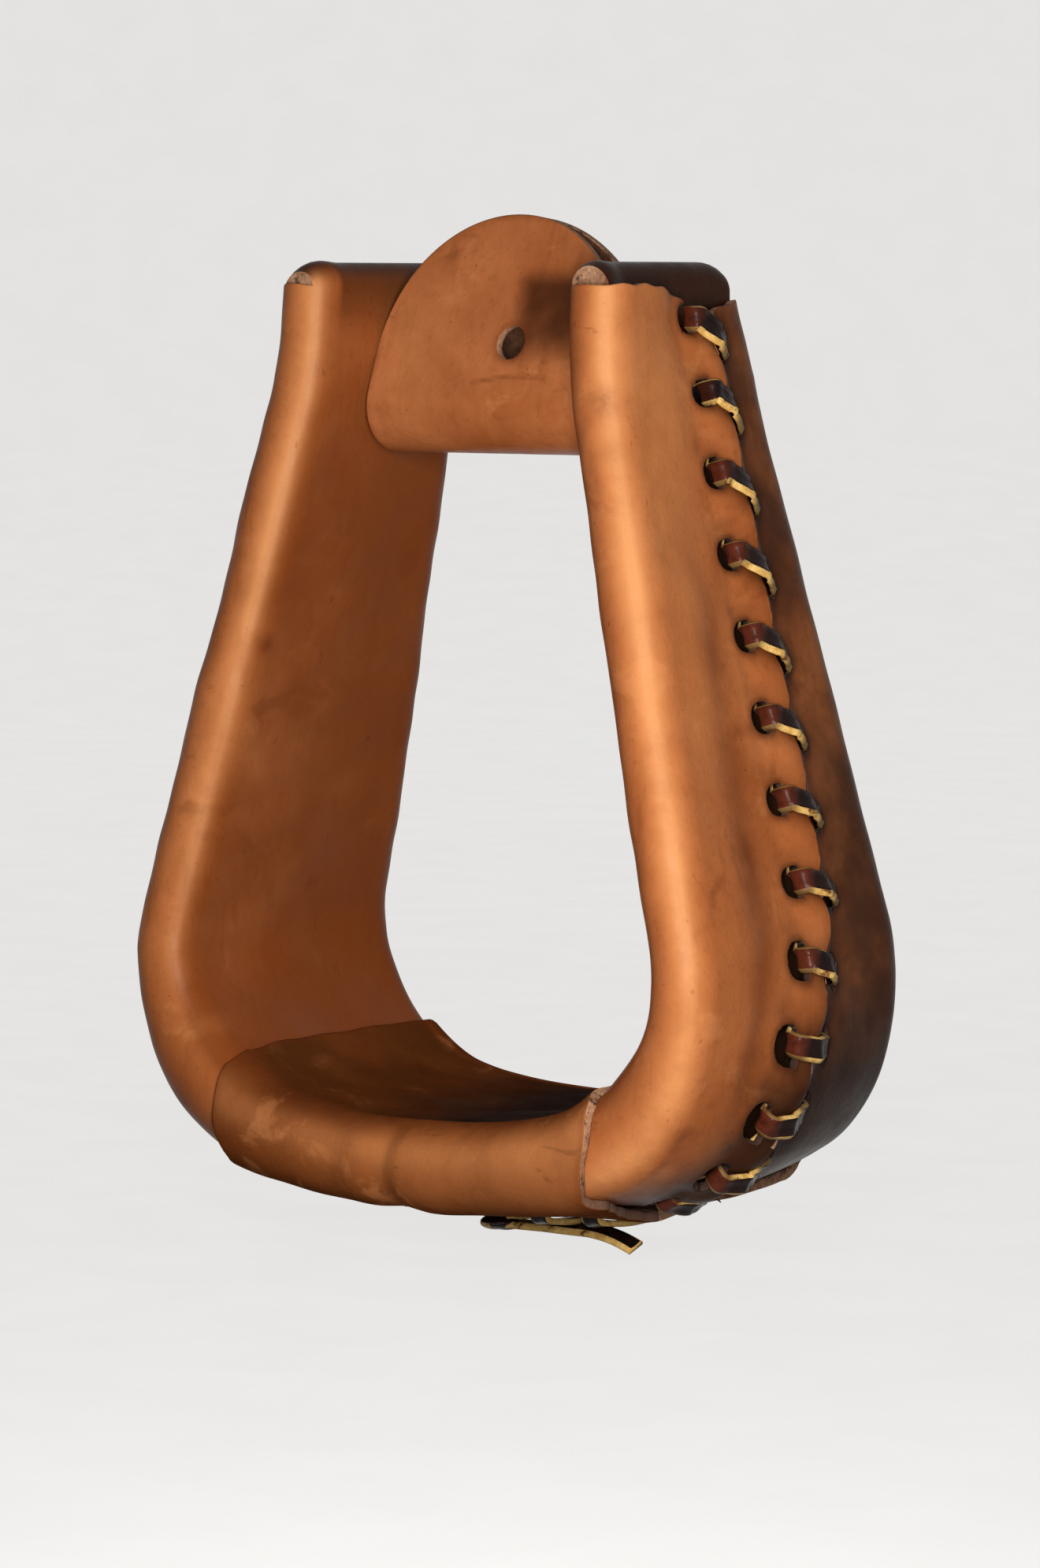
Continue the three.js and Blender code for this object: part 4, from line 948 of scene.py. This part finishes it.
def tread_cover(finishes):
    zone, u = zone_columns([44, 22, 34, 22, 40])
    share = np.linspace(-1, 1, 191)
    flat_zone = zone[None, :]
    y, out = wrap(np.full((1, len(zone)), 30.0), flat_zone, u[None, :], TREAD_SEAM_Y + 0 * u[None, :], TREAD_LIFT)
    depth_share = np.clip((out[0] + face_out(30.0)) / (2 * face_out(30.0)), 0, 1)
    under = (zone == 0) | (zone == 4)
    end = TREAD_COVER_TOP + (TREAD_COVER_UNDER - TREAD_COVER_TOP) * depth_share
    end = end - 2.6 * np.where(zone == 2, smooth(-y[0], 16, 30), (zone == 1) * smooth(u, 0.25, 0.95))
    end = end - np.where(under, 5.5 * smooth(1 - np.abs(y[0] - TREAD_SEAM_Y) / 33, 0, 1), 0)
    ripple = 0.35 * np.sin(u * 9 + zone * 2.1) + 0.25 * np.sin(u * 23 + zone)
    place = share[:, None] * (end + ripple * np.sign(share[:, None]))
    y, out = wrap(place, flat_zone, u[None, :], TREAD_SEAM_Y + 0 * place, TREAD_LIFT)
    kept = np.ones((len(share) - 1, len(zone) - 1), bool)
    slots = []
    for side in (-1, 1):
        for start, stop, enter, leave in tread_stitches[side]:
            slots.append((start, enter, 1, 2.4))
            if abs(start) > TREAD_PITCH:
                slots.append((stop, leave, -1, 2.4))
    outside = (flat_zone == 0) | (flat_zone == 4)
    place, y, kept, rim = cut_slots(place, y, kept, slots, outside)
    base_out = np.where(outside, out + crown_at(place, y) + tread_ridge(place, y), out)
    skin = on_bow(place, y, base_out)
    middle = on_bow(place, y * 0, out * 0)
    normal = grid_normals(skin, skin - middle)
    front = (flat_zone == 1) * np.sin(math.pi * np.clip(u[None, :], 0, 1)) ** 0.7
    from_crease = place - CREASE_AT - 2.2 * (u[None, :] - 0.5)
    strength = smooth(u[None, :], 0.05, 0.35) * (1 - 0.6 * smooth(u[None, :], 0.7, 0.95))
    at_crease = bell(from_crease, np.where(from_crease < 0, 5.0, 2.3)) * front * strength
    low_front = (flat_zone == 1) * smooth(-u[None, :], -0.5, 0) + (flat_zone == 0) * smooth(-y, 20, 32)
    pillow = (0.6 * bell(place - CREASE_AT - 10, 8) + 1.2 * bell(place - CREASE_AT + 9, 6)) * front
    pillow += 0.5 * bell(place - 36, 9) * front
    wobble = 0.3 * unevenness(skin, 38, 5) + 0.14 * unevenness(skin, 15, 6)
    worn = (flat_zone == 2) * bell(place, 40) * bell(y, 26)
    pinched = 0.9 * bell(place - CREASE_AT, 5) * low_front
    shift = 0.8 * pillow - 0.9 * at_crease + wobble - 0.6 * worn - pinched
    skin = skin + normal * shift[..., None]
    flesh = skin - normal * LEATHER
    full = np.ones_like(place)
    marks = {
        "near_seam": bell(np.where(outside, y - TREAD_SEAM_Y, 60), 10) * full,
        # Painted shade round the slots
        "shaded_dimple": 0.8 * rim,
        "tread_top": (flat_zone == 2) * full,
        # Painted shade towards the top of the front
        "top_edge_shade": (flat_zone == 1) * smooth(u[None, :], 0.66, 0.9) * full,
        # Painted shade in the crease
        "crease_shade": bell(from_crease, 0.9) * front * strength,
        "lit_band": (flat_zone == 1) * bell(u[None, :] - 0.62, 0.13) * full,
        # Painted shade on the lower front and the underside
        "low": ((flat_zone == 1) * smooth(-u[None, :], -0.42, -0.1) + (flat_zone == 0)) * full,
        "near_end": smooth(np.abs(share)[:, None] * full, 0.95, 1.0),
        # Painted light across the front, growing towards the right
        "worn": (flat_zone == 1) * np.sin(math.pi * u[None, :]) * smooth(place, -50, 45) * full,
        "to_right": (flat_zone == 2) * smooth(place + 0.25 * y, -34, 10) * full,
    }
    return leather_piece("tread_leather", skin, flesh, kept, marks, finishes)


made, shader, tone, cloudy = leather_tone("tread_saddle_leather", srgb(136, 74, 34), srgb(108, 53, 22))
# Painted light on the front: lighter towards the right and in a band along it; painted shade low down
tone = marked(tone, "worn", 0.3, PALE, broken=60)
tone = marked(tone, "lit_band", 0.4, PALE, broken=70)
tone = marked(tone, "low", 0.05, srgb(110, 54, 26), broken=60)
tone = marked(tone, "tread_top", 0.9, srgb(86, 46, 20), broken=50)
tone = marked(tone, "to_right", 0.95, srgb(20, 10, 6))
# Painted shade towards the top of the front
tone = marked(tone, "top_edge_shade", 0.45, srgb(70, 34, 16), broken=90)
# Painted shade in the crease
tone = marked(tone, "crease_shade", 0.3, UMBER, broken=120)
tone = marked(tone, "near_seam", 0.5, DEEP, broken=120)
tone = marked(tone, "near_end", 0.35, DEEP)
# Painted shade round the slots
tone = marked(tone, "shaded_dimple", 0.8, UMBER)
tread_leather_finish = finish_leather(made, shader, tone, cloudy, rough=0.7, shine=0.004)
piece = tread_cover([tread_leather_finish, flesh_side, cut_edge])
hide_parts("tread_cover")
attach(piece, "bow")

# Tread lace: a strand from each end of the tread, tied in one flat knot at the middle of the underside. The loose tail
# that the saddler left runs on towards the right over the stitches, and droops at its end.
KNOT_AT, KNOT_Y = 1.2, -5.5
KNOT_LENGTH, KNOT_WIDTH, KNOT_HEIGHT = 8.6, 8.0, 3.6
TAIL_LENGTH, TAIL_BEND, TAIL_DROOP = 35.2, 0.62, 3.4


def over_tread(place, y):
    return tread_outer(place, y) + tread_ridge(place, y) + 0.5


bodies = []
for side in (-1, 1):
    stitches = [list(stitch) for stitch in tread_stitches[side]]
    stitches[-1][1] = KNOT_AT + side
    stitches[-1][3] = KNOT_Y - 1
    run = smooth_path(stitch_run(stitches, tread_outer, tread_ridge)[:-3])
    bodies.append(lace_body(*lace_frame(run)))

turn = np.linspace(0, 2 * math.pi, 29)[:-1]
rise = np.linspace(-math.pi / 2, math.pi / 2, 17)
lump_place = KNOT_AT + KNOT_LENGTH / 2 * np.cos(rise)[:, None] * np.cos(turn) * (1 + 0.10 * np.sin(3 * turn + 0.6))
lump_y = KNOT_Y + KNOT_WIDTH / 2 * np.cos(rise)[:, None] * np.sin(turn) * (1 + 0.08 * np.sin(2 * turn))
fold = 0.35 * np.cos(rise)[:, None] * np.sin(2 * turn + 0.9) * (np.sin(rise)[:, None] > 0)
lump_out = float(over_tread(KNOT_AT, KNOT_Y)) + KNOT_HEIGHT * (1 + np.sin(rise))[:, None] / 2 + fold
points = on_bow(lump_place, lump_y, lump_out).reshape(-1, 3)
faces, slots = [], []
for r in range(len(rise) - 1):
    for k in range(len(turn)):
        a, b = r * len(turn) + k, r * len(turn) + (k + 1) % len(turn)
        faces.append((a, b, b + len(turn), a + len(turn)))
        slots.append(1 if k in (19, 20) and r > 7 else 0)
bodies.append((points, faces, slots))

share = np.linspace(0, 1, 37)
tail_place = KNOT_AT + TAIL_LENGTH * share
tail_y = KNOT_Y + 0.8 * np.sin(share * 4)
tail_out = over_tread(tail_place, tail_y) + 1.5 * LACE_THICKNESS + GAP + TAIL_DROOP * ramp(share, TAIL_BEND, 1) ** 2
tail = on_bow(tail_place, tail_y, tail_out)
lean = on_bow(tail_place, tail_y - 1, tail_out + 0.7 * share) - tail
bodies.append(lace_body(tail, lean, on_bow(tail_place, tail_y, tail_out - 1) - tail, width=4.4, bevels=(0.6, 0.9)))
piece = mesh_object("tread_lacing", bodies, [lace_face, lace_edge])
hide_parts("tread_lace")
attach(piece, "bow")

# Bolt, washers and nut: plain zinc-plated hardware, sunk in the wood before the leather went on.
zinc, shader = new_finish("zinc_plate")
dull = noise(300, 4, 0.6)
wire(
    shader,
    Base_Color=mixed(spread(dull, 0.3, 0.7), srgb(150, 152, 156), srgb(186, 188, 190)),
    Roughness=spread(dull, 0.3, 0.7, 0.28, 0.45),
    Normal=bump(noise(1600, 2, 0.5), 0.1, 0.0001),
)
shader.inputs["Metallic"].default_value = 1.0
for name in ("bolt", "washer_left", "washer_right", "nut"):
    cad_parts[name].data.materials.clear()
    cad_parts[name].data.materials.append(zinc)

# Roller: a turned hardwood sleeve that spins on the bolt inside the folded cover.
turned_wood, shader = new_finish("turned_ash")
rings = noise(420, 4, 0.6, stretch=(0.15, 1.0, 1.0))
wire(
    shader,
    Base_Color=mixed(spread(rings, 0.3, 0.7), srgb(140, 96, 56), srgb(182, 136, 88)),
    Roughness=spread(rings, 0.3, 0.7, 0.5, 0.65),
    Normal=bump(rings, 0.25, 0.0003),
)
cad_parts["roller"].data.materials.clear()
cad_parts["roller"].data.materials.append(turned_wood)

# Bolt cover: one leather folded round the roller so that its two half-round ears stand up together, with one hole
# punched through both. The stirrup leather lies round it.
ROLLER_DIAMETER = 16.0
EAR_CENTRE = 8.8
EAR_TOP_GAP = 0.5
EAR_LEAN = math.radians(7)
HOLE_X, HOLE_HEIGHT, HOLE_DIAMETER = 5.1, 12.8, 7.4
# Creases on the front ear, painted as dark lines of shade only, with no dent: from, to, width and depth of the shade,
# seen from the front
EAR_CREASES = (
    ((-2.9, 3.9), (16.6, 5.0), 0.45, 0.7),
    ((12.0, 27.5), (14.6, 24.5), 0.3, 0.5),
    ((-24.0, 21.0), (-23.0, -4.0), 0.5, 0.25),
)


def bolt_cover(finishes):
    fold = ROLLER_DIAMETER / 2 + GAP
    half_width = 32.69
    x = np.linspace(-half_width, half_width, 101)
    top = EAR_CENTRE + half_width
    ear_top = EAR_CENTRE + np.sqrt(np.maximum(half_width**2 - x**2, 0))

    def loop(radius, top_y):
        far = math.hypot(top, top_y)
        touch = math.atan2(top_y, top) + math.acos(radius / far)
        turn = np.linspace(touch, 2 * math.pi - touch, 44)
        ring_y, ring_z = -radius * np.sin(turn), radius * np.cos(turn)
        rise = np.linspace(1, 0, 52)[:-1]
        start_z = ring_z[0]
        height = start_z + rise[:, None] * (ear_top[None, :] - start_z)
        share = (height - start_z) / (top - start_z)
        ear_y = ring_y[0] + share * (-top_y - ring_y[0])
        front = np.stack([ear_y, height], axis=-1)
        back = np.stack([-ear_y, height], axis=-1)[::-1]
        middle = np.repeat(np.stack([ring_y, ring_z], axis=-1)[:, None, :], len(x), axis=1)
        return np.concatenate([front, middle, back])

    grain_side = loop(fold + LEATHER, EAR_TOP_GAP / 2 + LEATHER)
    flesh = loop(fold, EAR_TOP_GAP / 2)
    xs = np.repeat(x[None, :], grain_side.shape[0], axis=0)
    height = grain_side[..., 1]
    kept = np.ones((grain_side.shape[0] - 1, len(x) - 1), bool)
    kept &= (np.abs(x[:-1] + x[1:]) / 2 < half_width - 0.1)[None, :]
    away_x, away_z = xs - HOLE_X, height - HOLE_HEIGHT
    far = np.hypot(away_x, away_z)
    middle = (far[:-1, :-1] + far[:-1, 1:] + far[1:, 1:] + far[1:, :-1]) / 4
    gone = (middle < HOLE_DIAMETER / 2) & (height[:-1, :-1] > 2)
    touched, untouched = np.zeros(far.shape, bool), np.zeros(far.shape, bool)
    for rows in (slice(0, -1), slice(1, None)):
        for columns in (slice(0, -1), slice(1, None)):
            touched[rows, columns] |= gone
            untouched[rows, columns] |= ~gone
    brink = touched & untouched
    kept &= ~gone
    grow = np.where(brink, HOLE_DIAMETER / 2 / np.maximum(far, 0.1), 1.0)
    new_x = HOLE_X + away_x * grow
    new_z = HOLE_HEIGHT + away_z * grow
    skin = np.stack([np.where(brink, new_x, xs), grain_side[..., 0], np.where(brink, new_z, height)], axis=-1)
    inside = np.stack([skin[..., 0], flesh[..., 0], np.where(brink, new_z, flesh[..., 1])], axis=-1)
    bow_out = 0.5 * smooth(skin[..., 2], 12, 42) * np.sin(skin[..., 0] / half_width * 2.4 + 0.4)
    warp = 0.22 * unevenness(skin, 34, 8) * smooth(np.abs(skin[..., 1]), 0, 6)
    for side_points in (skin, inside):
        side_points[..., 1] += bow_out + warp
    cosine, sine = math.cos(EAR_LEAN), math.sin(EAR_LEAN)
    lean = np.array([[1, 0, 0], [0, cosine, sine], [0, -sine, cosine]])
    shaded_creases = np.zeros_like(xs)
    for (from_x, from_z), (to_x, to_z), width, depth in EAR_CREASES:
        run_x, run_z = to_x - from_x, to_z - from_z
        along = ((xs - from_x) * run_x + (height - from_z) * run_z) / (run_x**2 + run_z**2)
        bent = 0.7 * np.sin(3 * np.clip(along, 0, 1))
        along = np.clip(along, 0, 1)
        off = np.hypot(xs - from_x - along * run_x, height - from_z - bent - along * run_z)
        shaded_creases = np.maximum(shaded_creases, depth * bell(off, width))
    in_front = np.arange(len(grain_side))[:, None] < 75
    above = (height - EAR_CENTRE) / half_width * (height > EAR_CENTRE)
    marks = {
        "near_hole": bell(np.maximum(far - HOLE_DIAMETER / 2, 0), 1.3) * (height > 2),
        "near_edge": smooth(np.maximum(np.abs(xs) / half_width, above), 0.93, 1.0),
        # Painted shade along the creases
        "pressed_and_shaded": shaded_creases * in_front,
        "stain": stained(np.stack([xs, skin[..., 1], height], axis=-1)) * in_front,
        # Painted highlight on the left of the front ear
        "worn": bell(np.hypot(xs + 24, (height - 6) * 0.5), 9) * in_front,
        # Painted shadow of the right leg on the front ear
        "rubbed": smooth(xs + 0.12 * height, 4.5, 11) * smooth(height, 6, 15) * smooth(-height, -31, -25) * in_front,
    }
    return leather_piece("folded_cover", skin @ lean.T, inside @ lean.T, kept, marks, finishes)


made, shader, tone, cloudy = leather_tone("folded_saddle_leather", srgb(190, 114, 68), srgb(158, 88, 46))
# Painted highlight on the left of the front ear
tone = marked(tone, "worn", 0.5, PALE, broken=60)
# Painted shadow of the right leg on the front ear
tone = marked(tone, "rubbed", 0.92, srgb(60, 27, 10), broken=25)
tone = marked(tone, "near_hole", 0.5, DEEP)
tone = marked(tone, "near_edge", 0.4, DEEP, broken=90)
# Painted shade along the creases
tone = marked(tone, "pressed_and_shaded", 0.8, srgb(92, 44, 20), broken=260)
tone = marked(tone, "stain", 0.8, srgb(112, 44, 22), broken=200)
folded_leather = finish_leather(made, shader, tone, cloudy)
piece = bolt_cover([folded_leather, flesh_side, cut_edge])
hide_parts("bolt_cover")
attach(piece, "bolt_cover")

# Studio: a pale floor that runs up into a pale backdrop, one soft lamp low and near beside the camera, and a weak even
# sky. The camera stands where the photographer's did.
lowest = float(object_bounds()[0][2]) - 0.0015
floor_mesh = bpy.data.meshes.new("floor")
profile = [(-3.0, 0), (1.6, 0), (2.2, 0.12), (2.6, 0.55), (2.7, 1.1), (2.7, 4)]
CAMERA_AZIMUTH, CAMERA_ELEVATION, CAMERA_DISTANCE = math.radians(39.28), math.radians(4.60), 1.3386
cosine, sine = math.cos(CAMERA_AZIMUTH), math.sin(CAMERA_AZIMUTH)
points = []
for wide in (-4, 4):
    for depth, rise in profile:
        points.append((wide * cosine - depth * sine, wide * sine + depth * cosine, lowest + rise))
count = len(profile)
floor_mesh.from_pydata(points, [], [(i, i + 1, i + 1 + count, i + count) for i in range(count - 1)])
floor_mesh.polygons.foreach_set("use_smooth", [True] * (count - 1))
floor = bpy.data.objects.new("floor", floor_mesh)
bpy.context.scene.collection.objects.link(floor)
paper, shader = new_finish("pale_paper")
paper_speck = noise(40, 3, 0.5)
tone = mixed(spread(paper_speck, 0.3, 0.7), srgb(241, 240, 238), srgb(243, 242, 240))
shader.inputs["Roughness"].default_value = 0.9
shader.inputs["Specular IOR Level"].default_value = 0.1
seen = add("LightPath")
shown = math_of("MAXIMUM", seen.outputs["Is Camera Ray"], seen.outputs["Is Glossy Ray"])
shown = math_of("MAXIMUM", shown, seen.outputs["Is Transmission Ray"])
wire(shader, Base_Color=mixed(shown, srgb(104, 102, 99), srgb(62, 62, 62)))
node_tree.links.new(tone, shader.inputs["Emission Color"])
node_tree.links.new(math_of("MULTIPLY", shown, 0.86), shader.inputs["Emission Strength"])
floor_mesh.materials.append(paper)

world = bpy.data.worlds.new("studio")
bpy.context.scene.world = world
world.use_nodes = True
node_tree = world.node_tree
sky = node_tree.nodes["Background"]
sky.inputs["Color"].default_value = (1.0, 0.985, 0.965, 1.0)
seen = add("LightPath")
shown = math_of("MAXIMUM", seen.outputs["Is Camera Ray"], seen.outputs["Is Glossy Ray"])
shown = math_of("MAXIMUM", shown, seen.outputs["Is Transmission Ray"])
node_tree.links.new(spread(shown, 0, 1, 0.08, 0.85), sky.inputs["Strength"])


def lamp(name, azimuth, elevation, distance, size, power, colour):
    light = bpy.data.lights.new(name, "AREA")
    light.shape = "RECTANGLE"
    light.size, light.size_y = size
    light.energy = power
    light.color = colour
    holder = bpy.data.objects.new(name, light)
    a, e = math.radians(azimuth), math.radians(elevation)
    direction = Vector((math.cos(a) * math.cos(e), math.sin(a) * math.cos(e), math.sin(e)))
    target = Vector((0, 0, -0.07))
    holder.location = target + direction * distance
    holder.rotation_euler = direction.to_track_quat("Z", "Y").to_euler()
    bpy.context.scene.collection.objects.link(holder)


lamp("key", -51, 6, 0.46, (0.14, 0.22), 2.4, (1.0, 0.97, 0.94))

camera = bpy.data.objects.new("camera", bpy.data.cameras.new("camera"))
camera.data.lens = 140.62
camera.data.clip_end = 50
level = math.cos(CAMERA_ELEVATION)
right = Vector((cosine, sine, 0))
back = Vector((sine * level, -cosine * level, math.sin(CAMERA_ELEVATION)))
aim = right * 0.00186 + Vector((0, 0, 0.08040 - bar_rise * MM))
camera.location = aim + back * CAMERA_DISTANCE
camera.rotation_euler = back.to_track_quat("Z", "Y").to_euler()
bpy.context.scene.collection.objects.link(camera)
bpy.context.scene.camera = camera
bpy.context.scene.view_settings.view_transform = "Standard"
